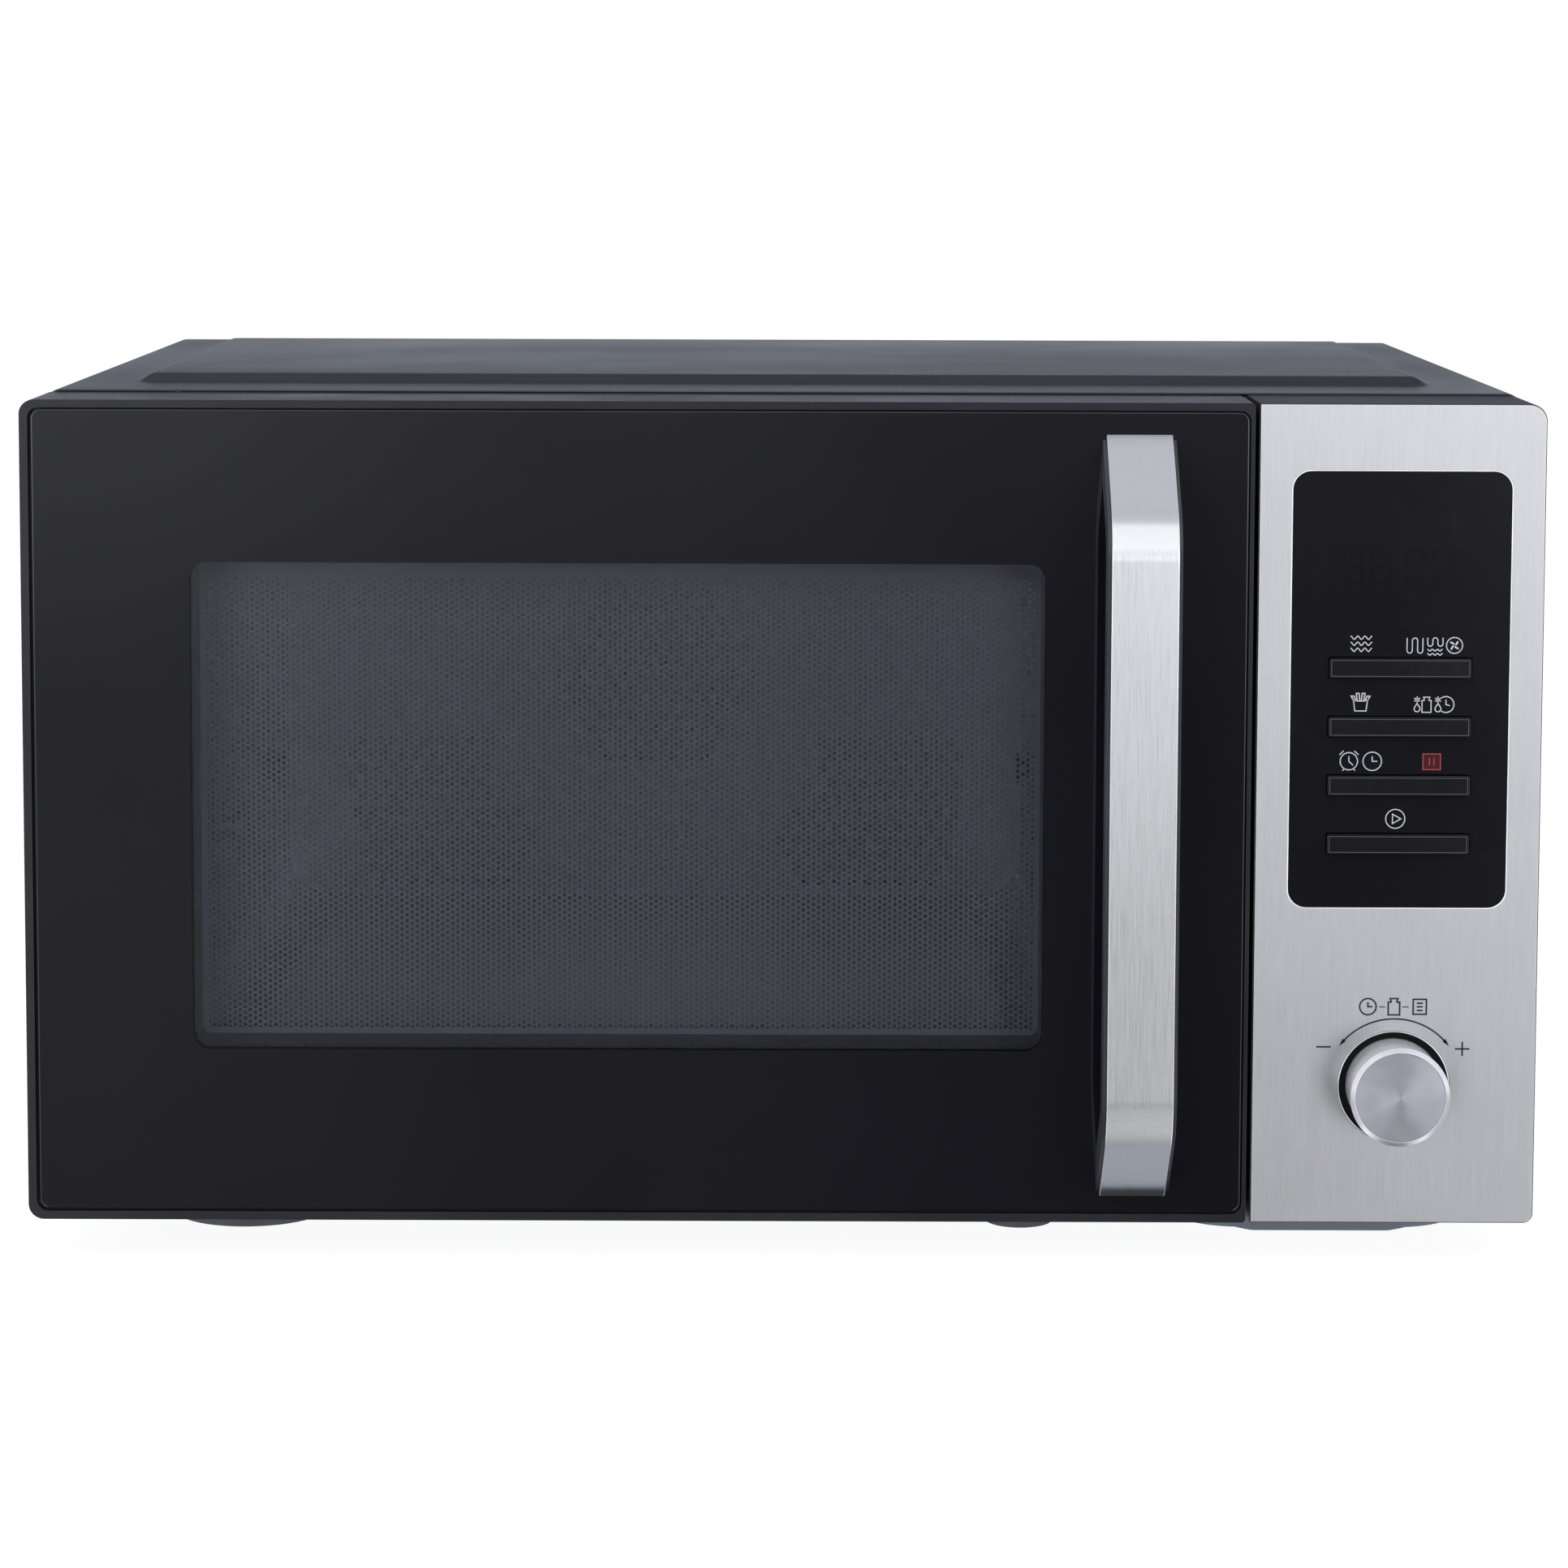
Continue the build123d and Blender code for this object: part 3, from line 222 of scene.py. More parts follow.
class Graph:
    """Short calls that add nodes to a shader tree and link them."""

    def __init__(self, tree):
        self.tree = tree
        tree.nodes.clear()

    def node(self, kind, **settings):
        made = self.tree.nodes.new("ShaderNode" + kind)
        for name, value in settings.items():
            setattr(made, name, value)
        return made

    def link(self, source, target):
        self.tree.links.new(source, target)

    def feed(self, socket, value):
        """Links a source to a socket, or sets its plain value."""
        if isinstance(value, bpy.types.NodeSocket):
            self.link(value, socket)
        elif value is not None:
            socket.default_value = (*value, 1.0) if socket.type == "RGBA" else value

    def span(self, source, low, high, start=0.0, end=1.0):
        """Moves a value from start to end over to low to high."""
        made = self.node("MapRange")
        for socket, value in zip(("From Min", "From Max", "To Min", "To Max"), (start, end, low, high)):
            made.inputs[socket].default_value = value
        self.link(source, made.inputs["Value"])
        return made.outputs[0]

    def maths(self, operation, a, b=None):
        made = self.node("Math", operation=operation)
        for socket, value in zip(made.inputs, (a, b)):
            self.feed(socket, value)
        return made.outputs[0]

    def vector(self, operation, a, b=None):
        made = self.node("VectorMath", operation=operation)
        for socket, value in zip(made.inputs, (a, b)):
            self.feed(socket, value)
        return made.outputs["Value" if operation == "LENGTH" else "Vector"]

    def blend(self, factor, first, second):
        """A colour between two colours."""
        made = self.node("Mix", data_type="RGBA")
        self.link(factor, made.inputs["Factor"])
        for socket, value in zip([s for s in made.inputs if s.type == "RGBA"], (first, second)):
            self.feed(socket, value)
        return [s for s in made.outputs if s.type == "RGBA"][0]

    def mixed_shaders(self, factor, first, second):
        made = self.node("MixShader")
        for socket, source in zip(made.inputs, (factor, first, second)):
            self.link(source, socket)
        return made.outputs[0]


class Finish(Graph):
    """A node material: one Principled shader, with procedural detail in front of it."""

    def __init__(self, name, **sockets):
        self.material = bpy.data.materials.new(name)
        self.material.use_nodes = True
        super().__init__(self.material.node_tree)
        self.output = self.node("OutputMaterial")
        self.shader = self.node("BsdfPrincipled")
        self.link(self.shader.outputs[0], self.output.inputs["Surface"])
        for socket, value in sockets.items():
            self.put(socket.replace("_", " ").title().replace("Ior", "IOR"), value)

    def put(self, socket, value):
        """Feeds a socket of the Principled shader."""
        self.feed(self.shader.inputs[socket], value)

    def place(self, stretch=(1, 1, 1), turn=(0, 0, 0)):
        """Object coordinates in millimetres, stretched: a small number lengthens the pattern."""
        where = self.node("TexCoord")
        mapping = self.node("Mapping")
        mapping.inputs["Scale"].default_value = [s / MM for s in stretch]
        mapping.inputs["Rotation"].default_value = turn
        self.link(where.outputs["Object"], mapping.inputs["Vector"])
        return mapping.outputs[0]

    def from_axis(self, x, z):
        """Object coordinates measured from an axis parallel to Y through x, z."""
        where = self.node("TexCoord")
        return self.vector("SUBTRACT", where.outputs["Object"], (x * MM, 0, z * MM))

    def noise(self, stretch=(1, 1, 1), detail=3.0, rough=0.5, warp=0.0):
        """A soft pattern. A single number for stretch scales it evenly."""
        if isinstance(stretch, (int, float)):
            stretch = (stretch,) * 3
        made = self.node("TexNoise")
        for socket, value in zip(("Scale", "Detail", "Roughness", "Distortion"), (1.0, detail, rough, warp)):
            made.inputs[socket].default_value = value
        self.link(self.place(stretch), made.inputs["Vector"])
        return made.outputs[0]

    def mixed(self, first, share, second):
        """Two patterns added, the first with a share of the whole."""
        rest = self.maths("MULTIPLY", second, 1 - share)
        return self.maths("ADD", self.maths("MULTIPLY", first, share), rest)

    def tint(self, pattern, colour, low, high):
        """Base colour between two shades of one colour."""
        self.put("Base Color", self.blend(pattern, scaled(colour, low), scaled(colour, high)))

    def gloss(self, pattern, roughness, swing, start=0.0, end=1.0):
        """Roughness that swings to either side of a middle."""
        self.put("Roughness", self.span(pattern, roughness - swing, roughness + swing, start, end))

    def round_tangent(self, axis):
        """Anisotropic light runs in rings round an axis."""
        self.put("Tangent", self.node("Tangent", direction_type="RADIAL", axis=axis).outputs[0])
        self.put("Anisotropic Rotation", 0.25)

    def pane(self, tint, haze, low, high):
        """Thin glass: it mirrors a little, more at a slant, and lets the rest through with a tint."""
        through = self.node("BsdfTransparent")
        self.feed(through.inputs[0], tint)
        mirror = self.node("BsdfGlossy")
        self.link(self.span(haze, low, high), mirror.inputs["Roughness"])
        rim = self.node("Fresnel")
        rim.inputs["IOR"].default_value = 1.5
        return self.mixed_shaders(rim.outputs[0], through.outputs[0], mirror.outputs[0])

    def bump(self, *layers):
        """Bump from (height, strength, depth in mm) layers, the last one outermost."""
        last = None
        for height, strength, depth in layers:
            made = self.node("Bump")
            made.inputs["Strength"].default_value = strength
            made.inputs["Distance"].default_value = depth * MM
            self.link(height, made.inputs["Height"])
            if last is not None:
                self.link(last, made.inputs["Normal"])
            last = made.outputs[0]
        self.put("Normal", last)


def scaled(colour, factor):
    return tuple(min(1.0, c * factor) for c in colour)


def brushed(name, colour, roughness, grain, anisotropic=0.6, spread=0.12, round_axis=None):
    """Ground stainless steel: fine lines along one axis, with slow changes in sheen."""
    along, across = 0.05, 3.2
    stretch = tuple(along if axis == grain else across for axis in "xyz")
    f = Finish(name, metallic=1.0, anisotropic=anisotropic)
    fine = f.noise(stretch, detail=5.0, rough=0.65)
    band = f.noise(tuple(s / 6 for s in stretch), detail=2.0)
    cloud = f.noise(0.01, detail=2.0)
    f.tint(f.span(f.mixed(fine, 0.8, band), 0, 1, 0.3, 0.7), colour, 1 - spread, 1 + spread / 2)
    f.gloss(f.maths("ADD", fine, f.maths("MULTIPLY", cloud, 0.4)), roughness, 0.035, 0.4, 1.0)
    f.bump((fine, 0.25, 0.012))
    if round_axis:
        f.round_tangent(round_axis)
    return f.material


def moulded(name, colour, roughness, grain=0.5, depth=0.02, level=0.5):
    """Moulded plastic with a fine spark-eroded texture and slow gloss changes."""
    f = Finish(name, specular_ior_level=level)
    pits = f.noise(1 / grain, detail=4.0, rough=0.6)
    slow = f.noise(0.02)
    f.tint(slow, colour, 0.88, 1.12)
    f.gloss(f.maths("ADD", pits, slow), roughness, 0.07, 0.6, 1.4)
    f.bump((pits, 0.35, depth))
    return f.material


def powder_coat(name, colour, roughness, peel=1.6, depth=0.03):
    """Baked powder paint: an orange-peel skin over a fine speckle."""
    f = Finish(name)
    skin = f.noise(1 / peel, detail=2.0)
    speck = f.noise(2.6, rough=0.7)
    slow = f.noise(0.008)
    f.tint(speck, colour, 0.85, 1.15)
    f.gloss(f.maths("ADD", speck, slow), roughness, 0.05, 0.6, 1.4)
    f.bump((skin, 0.2, depth), (speck, 0.15, depth / 3))
    return f.material


def zinc(name, colour, roughness):
    """Zinc-coated sheet with its crystal spangle."""
    spangle = 7.0
    f = Finish(name, metallic=1.0)
    crystal = f.node("TexVoronoi")
    crystal.inputs["Scale"].default_value = 1.0
    f.link(f.place((1 / spangle,) * 3), crystal.inputs["Vector"])
    grey = f.node("RGBToBW")
    f.link(crystal.outputs["Color"], grey.inputs[0])
    fine = f.noise(0.9, detail=4.0)
    tone = f.mixed(grey.outputs[0], 0.6, fine)
    f.tint(tone, colour, 0.8, 1.1)
    f.gloss(tone, roughness, 0.1)
    f.bump((fine, 0.2, 0.02))
    return f.material


def turned(name, colour, roughness, axis_node, anisotropic, metallic=1.0):
    """Metal spun on a lathe: rings round an axis parallel to Y, and the fan of light they give."""
    pitch = 0.12
    x0, x1, _, _, z0, z1 = box_mm(axis_node)
    f = Finish(name, metallic=metallic, anisotropic=anisotropic)
    flat = f.vector("MULTIPLY", f.from_axis((x0 + x1) / 2, (z0 + z1) / 2), (1, 0, 1))
    rings = f.node("TexNoise", noise_dimensions="1D")
    rings.inputs["Scale"].default_value = 1 / (pitch * MM)
    rings.inputs["Detail"].default_value = 4.0
    f.link(f.vector("LENGTH", flat), rings.inputs["W"])
    tone = f.mixed(rings.outputs[0], 0.6, f.noise(0.15))
    f.tint(tone, colour, 0.9, 1.08)
    f.gloss(tone, roughness, 0.05, 0.3, 0.7)
    f.bump((rings.outputs[0], 0.25, 0.004))
    f.round_tangent("Y")
    return f.material


def cast_metal(name, colour, roughness, grain=0.6, depth=0.03, spread=0.15, metallic=1.0):
    """Plain bright or dull metal with a fine surface, some smears and small colour changes."""
    f = Finish(name, metallic=metallic)
    fine = f.noise(1 / grain, detail=5.0, rough=0.6)
    smear = f.noise(0.05, detail=4.0, warp=0.6)
    f.tint(smear, colour, 1 - spread, 1 + spread)
    f.gloss(f.maths("ADD", fine, smear), roughness, 0.1, 0.5, 1.5)
    f.bump((fine, 0.25, depth))
    return f.material


def striped(name, dark, light, stretch, roughness, metallic, depth=0.25):
    """Wound wire or stacked laminations: even stripes with a little unevenness."""
    f = Finish(name, metallic=metallic)
    wave = f.node("TexWave", wave_type="BANDS", bands_direction="DIAGONAL", wave_profile="SIN")
    for socket, value in (("Scale", 1.0), ("Distortion", 0.4), ("Detail Scale", 2.0)):
        wave.inputs[socket].default_value = value
    f.link(f.place(stretch), wave.inputs["Vector"])
    smear = f.noise(0.1, detail=4.0)
    tone = f.maths("MULTIPLY", wave.outputs["Fac"], f.span(smear, 0.7, 1.0))
    f.put("Base Color", f.blend(tone, dark, light))
    f.gloss(smear, roughness, 0.08)
    f.bump((wave.outputs["Fac"], 0.6, depth))
    return f.material


def clear_pane(name, tint):
    """The door's inner glass."""
    f = Finish(name)
    f.tree.nodes.remove(f.shader)
    f.link(f.pane(tint, f.noise(0.03), 0.02, 0.04), f.output.inputs["Surface"])
    return f.material


def printed_pane(name, window, radius, tint):
    """The door's outer glass: black print round a clear rounded window."""
    x0, x1, z0, z1 = window
    f = Finish(name)
    split = f.node("SeparateXYZ")
    f.link(f.vector("ABSOLUTE", f.from_axis((x0 + x1) / 2, (z0 + z1) / 2)), split.inputs[0])
    squares = []
    for distance, reach in ((split.outputs[0], (x1 - x0) / 2), (split.outputs[2], (z1 - z0) / 2)):
        over = f.maths("MAXIMUM", f.maths("SUBTRACT", distance, (reach - radius) * MM), 0.0)
        squares.append(f.maths("MULTIPLY", over, over))
    inside = f.maths("LESS_THAN", f.maths("SQRT", f.maths("ADD", *squares)), radius * MM)
    haze = f.noise(0.02)
    f.put("Roughness", f.span(haze, 0.03, 0.06))
    f.put("Base Color", f.blend(haze, (0.0045, 0.0045, 0.007), (0.007, 0.007, 0.0105)))
    glass = f.pane(tint, haze, 0.02, 0.05)
    f.link(f.mixed_shaders(inside, f.shader.outputs[0], glass), f.output.inputs["Surface"])
    return f.material


def ink(name, colour):
    """Screen-printed ink with a slightly uneven tone."""
    f = Finish(name, specular_ior_level=0.2)
    patch = f.noise(3.0)
    f.tint(patch, colour, 0.9, 1.08)
    f.gloss(patch, 0.45, 0.08)
    f.bump((patch, 0.15, 0.01))
    return f.material


def circuit(name, base, trace):
    """A lacquered board with copper tracks under the mask."""
    f = Finish(name, coat_weight=0.4)
    tracks = f.node("TexBrick")
    for socket, value in (("Scale", 1.0), ("Mortar Size", 0.16), ("Brick Width", 5.0), ("Row Height", 1.6)):
        tracks.inputs[socket].default_value = value
    f.link(f.place(turn=(radians(90), 0, 0)), tracks.inputs["Vector"])
    smear = f.noise(0.2)
    f.put("Base Color", f.blend(f.maths("MULTIPLY", tracks.outputs["Fac"], smear), base, trace))
    f.put("Roughness", f.span(smear, 0.25, 0.45))
    f.bump((tracks.outputs["Fac"], 0.3, 0.05))
    return f.material


# ---------- materials

FINISH = {
    "casing_black": powder_coat("casing_paint", (0.021, 0.0225, 0.027), 0.26),
    "frame_steel": powder_coat("frame_paint", (0.020, 0.021, 0.024), 0.35),
    "base_grey": powder_coat("base_sheet", (0.225, 0.258, 0.300), 0.50, peel=2.2),
    "foot_grey": moulded("foot_rubber", (0.08, 0.088, 0.098), 0.55, grain=0.7),
    "zinc_steel": zinc("zinc_sheet", (0.55, 0.56, 0.58), 0.36),
    "screw_steel": cast_metal("screw_metal", (0.50, 0.50, 0.52), 0.28, grain=0.4, depth=0.01),
    "gland_black": moulded("gland_plastic", (0.02, 0.02, 0.022), 0.42, grain=0.4),
    "cavity_steel": brushed("cavity_sheet", (0.52, 0.53, 0.55), 0.34, "x", anisotropic=0.3),
    "ceramic": powder_coat("floor_ceramic", (0.32, 0.315, 0.305), 0.12, peel=3.0, depth=0.01),
    "silicone": moulded("seal_silicone", (0.30, 0.30, 0.31), 0.48, grain=0.8),
    "heater": cast_metal("heater_sheath", (0.16, 0.15, 0.15), 0.42, grain=0.5, spread=0.3),
    "aluminium": cast_metal("mill_aluminium", (0.72, 0.73, 0.75), 0.32, grain=0.8, depth=0.02),
    "motor_steel": cast_metal("motor_can", (0.55, 0.55, 0.54), 0.34, grain=0.7),
    "core_iron": striped("core_laminations", (0.05, 0.05, 0.055), (0.20, 0.19, 0.18),
                         (0.0, 8.0, 0.0), 0.45, 0.8, depth=0.1),
    "copper": striped("winding_wire", (0.22, 0.07, 0.03), (0.78, 0.34, 0.17), (0.0, 0.0, 5.0), 0.3, 0.9),
    "board_green": circuit("circuit_board", (0.010, 0.075, 0.035), (0.10, 0.30, 0.12)),
    "duct_grey": moulded("duct_plastic", (0.24, 0.25, 0.26), 0.5, grain=0.6),
    "fan_white": moulded("fan_plastic", (0.70, 0.70, 0.67), 0.4, grain=0.5),
    "lamp_glass": cast_metal("lamp_envelope", (0.75, 0.73, 0.68), 0.12, grain=2.0, metallic=0.0, spread=0.05),
    "latch_white": moulded("latch_plastic", (0.68, 0.68, 0.66), 0.38, grain=0.5),
    "door_black": moulded("door_plastic", (0.014, 0.014, 0.018), 0.26, grain=0.35, depth=0.008, level=0.4),
    "cover_black": moulded("cover_plastic", (0.020, 0.020, 0.022), 0.45, grain=0.4),
    "inner_glass": clear_pane("inner_pane", (0.92, 0.94, 0.93)),
    "screen_steel": powder_coat("screen_enamel", (0.168, 0.173, 0.200), 0.38, peel=1.0, depth=0.01),
    "strap_steel": brushed("strap_steel", (0.605, 0.602, 0.612), 0.28, "z", anisotropic=0.85, spread=0.08,
                           round_axis="X"),
    "bar_black": moulded("bar_plastic", (0.025, 0.025, 0.030), 0.36, grain=0.35),
    "spring_steel": cast_metal("spring_wire", (0.45, 0.45, 0.46), 0.25, grain=0.3, depth=0.01),
    "panel_black": moulded("panel_plastic", (0.018, 0.018, 0.022), 0.36, grain=0.35),
    "fascia_steel": brushed("fascia_steel", (0.525, 0.522, 0.535), 0.32, "z", anisotropic=0.7, spread=0.10),
    "lens_black": moulded("lens_acrylic", (0.005, 0.005, 0.007), 0.07, grain=6.0, depth=0.004),
    "display_dark": moulded("display_glass", (0.012, 0.013, 0.015), 0.2, grain=2.0),
    "key_black": moulded("key_plastic", (0.005, 0.005, 0.007), 0.09, grain=3.0, depth=0.004, level=0.8),
    # black panel plastic made darker and duller as painted shade of the recess round the knob
    "well_painted_shade": moulded("well_plastic_painted_shade", (0.004, 0.004, 0.005), 0.5, grain=0.5, level=0.15),
    "bezel_chrome": cast_metal("bezel_chrome", (0.62, 0.63, 0.65), 0.14, grain=0.5, depth=0.004),
    "knob_metal": turned("knob_side", (0.52, 0.52, 0.54), 0.26, "knob_cap", anisotropic=0.3, metallic=0.4),
    "knob_face": turned("knob_spun_face", (0.41, 0.42, 0.455), 0.37, "knob_cap", anisotropic=0.5),
}


# ---------- casing


def casing():
    """The wrap: a folded sheet with a soft-edged raised field on top and vent slots in the sides."""
    x0, x1, y0, y1, z0, z1 = box_mm("outer_casing")
    rise = 2.5  # of the raised field over the top sheet
    top = z1 - rise
    bend = 5.0
    side_top = top - bend - 12  # where the top piece meets the sides
    thickness = 0.8
    field = (-243.0, 243.0, -102.5, 182.5)  # x0, x1, y0, y1 where its ramps start
    ramp_side = 7.0
    ramp_front = 26.0
    steps = 14
    flat_x, flat_front, flat_back = 252.0, -120.0, 195.0  # grid lines just outside it
    hem = 0.4  # a grid line this close to the front and back

    def lift(x, y):
        """Height of the raised field above the top sheet."""
        side = min(x - field[0], field[1] - x) / ramp_side
        ahead = (y - field[2]) / ramp_front
        behind = (field[3] - y) / ramp_side
        over_x = max(0.0, 1 - side)
        over_y = max(0.0, 1 - ahead, 1 - behind)
        share = max(0.0, 1 - hypot(over_x, over_y))
        return rise * share * share * (3 - 2 * share)

    def ramp(start, end):
        return [start + (end - start) * k / steps for k in range(steps + 1)]

    across = [x0 + bend, -flat_x]
    across += ramp(field[0], field[0] + ramp_side)
    across += [-150.0, 0.0, 150.0]
    across += ramp(field[1] - ramp_side, field[1])
    across += [flat_x, x1 - bend]
    along = [y0, y0 + hem, flat_front]
    along += ramp(field[2], field[2] + ramp_front)
    along += [0.0, 100.0]
    along += ramp(field[3] - ramp_side, field[3])
    along += [flat_back, y1 - hem, y1]

    left = [(x0, side_top)]
    left += [(x0 + bend - bend * cos(a), top - bend + bend * sin(a))
             for a in (radians(90 * k / 8) for k in range(8))]
    profile = left + [(x, top) for x in across] + [(-x, z) for x, z in reversed(left)]
    points = [(x, y, z + (lift(x, y) if z == top else 0.0)) for x, z in profile for y in along]
    wide = len(along)
    cells = [i * wide + k for i in range(len(profile) - 1) for k in range(wide - 1)]
    faces = [(a, a + 1, a + wide + 1, a + wide) for a in cells]
    mesh = clean(make_mesh("casing_top", points, faces), smooth=50)
    cap = add_piece("casing_top", mesh, "oven", FINISH["casing_black"], stands_for="outer_casing")
    sheet_thickness(cap, thickness)

    outline = [(y0, z0), (y1, z0), (y1, side_top), (y0, side_top)]
    for side, x, rows in (("left", x0, (180.0, 210.0, 240.0)), ("right", x1, (80.0, 110.0, 140.0))):
        wall = punched("casing_" + side, outline, side_slots(rows), x, thickness)
        add_piece("casing_" + side, wall, "oven", FINISH["casing_black"], slot="casing_black")


SLOT_START = 32.0
SLOT_PITCH = 11.0
SLOT_COUNT = 12
SLOT_WIDE = 4.0
SLOT_HIGH = 20.0


def side_slots(rows):
    """Upright vent slots with round ends, as (y, z) outlines."""
    radius = SLOT_WIDE / 2
    half = SLOT_HIGH / 2 - radius
    return [
        arc(y, z + half, radius, 0, 180, 8) + arc(y, z - half, radius, 180, 360, 8)
        for z in rows for y in (SLOT_START + SLOT_PITCH * k for k in range(SLOT_COUNT))
    ]


def sheet_thickness(obj, thickness):
    """Gives a surface a thickness on its inner side."""
    made = obj.modifiers.new("sheet", "SOLIDIFY")
    made.thickness = thickness * MM
    made.offset = -1
    return made


def filled(outlines):
    """A flat mesh in the XY plane between closed outlines, the inner ones as holes."""
    curve = bpy.data.curves.new("outline", "CURVE")
    curve.dimensions = "2D"
    curve.fill_mode = "BOTH"
    for outline in outlines:
        spline = curve.splines.new("POLY")
        spline.points.add(len(outline) - 1)
        for point, (u, v) in zip(spline.points, outline):
            point.co = (u * MM, v * MM, 0, 1)
        spline.use_cyclic_u = True
    holder = bpy.data.objects.new("outline", curve)
    mesh = bpy.data.meshes.new_from_object(holder)
    bpy.data.objects.remove(holder)
    bpy.data.curves.remove(curve)
    return mesh


def thick(mesh, depth, place, name):
    """Gives a flat mesh a thickness and puts it in the row frame with place(u, v, depth)."""
    bm = bmesh.new()
    bm.from_mesh(mesh)
    bmesh.ops.remove_doubles(bm, verts=bm.verts, dist=MERGE * MM)
    grown = bmesh.ops.extrude_face_region(bm, geom=list(bm.faces), use_keep_orig=True)
    for v in [g for g in grown["geom"] if isinstance(g, bmesh.types.BMVert)]:
        v.co.z = depth * MM
    for v in bm.verts:
        v.co = Vector(place(v.co.x / MM, v.co.y / MM, v.co.z / MM)) * MM
    out = bpy.data.meshes.new(name)
    bm.to_mesh(out)
    bm.free()
    return clean(out)


def punched(name, outline, holes, x, thickness):
    """A side wall at x with holes through it; its thickness goes inward."""
    inward = -copysign(1, x)
    flat = filled([outline, *holes])
    return thick(flat, thickness, lambda u, v, d: (x + inward * d, u, v), name)


casing()


# ---------- door

WINDOW = (-209.9, 93.0, 77.2, 251.8)  # clear part of the door glass: x0, x1, z0, z1
FIELD = (-207.5, 91.0, 79.4, 243.5)  # perforated part of the screen
HOLE_PITCH = 2.125
HOLE_SIZE = 1.5


def door_pane():
    """The outer glass, with its print in the material."""
    x0, x1, y0, y1, z0, z1 = box_mm("door_glass")
    finish = printed_pane("door_pane", WINDOW, 6.0, (0.86, 0.87, 0.9))
    mesh = make_mesh("door_pane", *slab(x0, x1, y0, y1, z0, z1, 3.5, 0.7))
    even_shading(add_piece("door_pane", clean(mesh), "door", finish, stands_for="door_glass"))


def perforated_screen():
    """The pressed microwave screen: a shallow pan whose window is a field of small holes."""
    x0, x1, y0, y1, z0, z1 = box_mm("door_screen")
    fx0, fx1, fz0, fz1 = FIELD
    sheet = 0.8
    bend = 2.0
    corner_radius = 4.0
    rings = [round_ring(fx0, fx1, fz0, fz1, 0.6, y0 + 0.06), round_ring(fx0, fx1, fz0, fz1, 0.6, y0)]
    for k in range(5):
        a = radians(90 * k / 4)
        inset = bend * (1 - sin(a))
        depth = y0 + bend * (1 - cos(a))
        rings.append(round_ring(x0 + inset, x1 - inset, z0 + inset, z1 - inset, corner_radius, depth))
    rings.append(round_ring(x0, x1, z0, z1, corner_radius, y1))
    for depth in (y1, y0 + sheet):
        rings.append(round_ring(x0 + sheet, x1 - sheet, z0 + sheet, z1 - sheet, corner_radius - sheet, depth))
    rings.append(round_ring(fx0, fx1, fz0, fz1, 0.6, y0 + sheet))
    rings.append(rings[0])
    pan = clean(make_mesh("screen_pan", *loft(rings, False, False)))
    even_shading(add_piece("screen_pan", pan, "door", FINISH["screen_steel"], stands_for="door_screen"))

    # Each hole is a hexagon cell: six outer corners shared with its neighbours and six inner ones.
    column = HOLE_PITCH * sqrt(3) / 2
    outer = HOLE_PITCH / sqrt(3)
    inner = HOLE_SIZE / 2
    turns = [radians(60 * k) for k in range(6)]
    corner = np.array([[r * cos(a), r * sin(a)] for r in (outer, inner) for a in turns])
    columns = int((fx1 - fx0) / column) + 1
    rows = int((fz1 - fz0) / HOLE_PITCH) + 1
    centres = [
        (fx0 + column * i, fz0 + HOLE_PITCH * (k + 0.5 * (i % 2)))
        for i in range(columns) for k in range(rows)
    ]
    spots = np.array(centres)[:, None, :] + corner[None, :, :]
    flat = spots.reshape(-1, 2)
    points = np.insert(flat, 1, y0 + 0.05, axis=1)
    sides = [(k, (k + 1) % 6) for k in range(6)]
    faces = [(a + k, a + n, a + 6 + n, a + 6 + k) for a in range(0, len(points), 12) for k, n in sides]
    mesh = clean(make_mesh("screen_holes", points, faces), merge=0.01)
    add_piece("screen_holes", mesh, "door", FINISH["screen_steel"], slot="screen_steel")


door_pane()
perforated_screen()
softened("door_frame", 0.5, FINISH["door_black"], sink=TOP_SHADOW)
softened("handle_strap", 0.4, FINISH["strap_steel"])
softened("handle_bar", 0.5, FINISH["bar_black"])
softened("door_inner_glass", 0.3, FINISH["inner_glass"])
softened("choke_cover", 0.5, FINISH["cover_black"])


# ---------- control panel


def turned_piece(name, profile, axis, body, finish, closed=True, smooth=SMOOTH_ANGLE, **links):
    mesh = clean(make_mesh(name, *lathe(profile, *axis, closed=closed)), smooth=smooth)
    add_piece(name, mesh, body, FINISH[finish], **links)


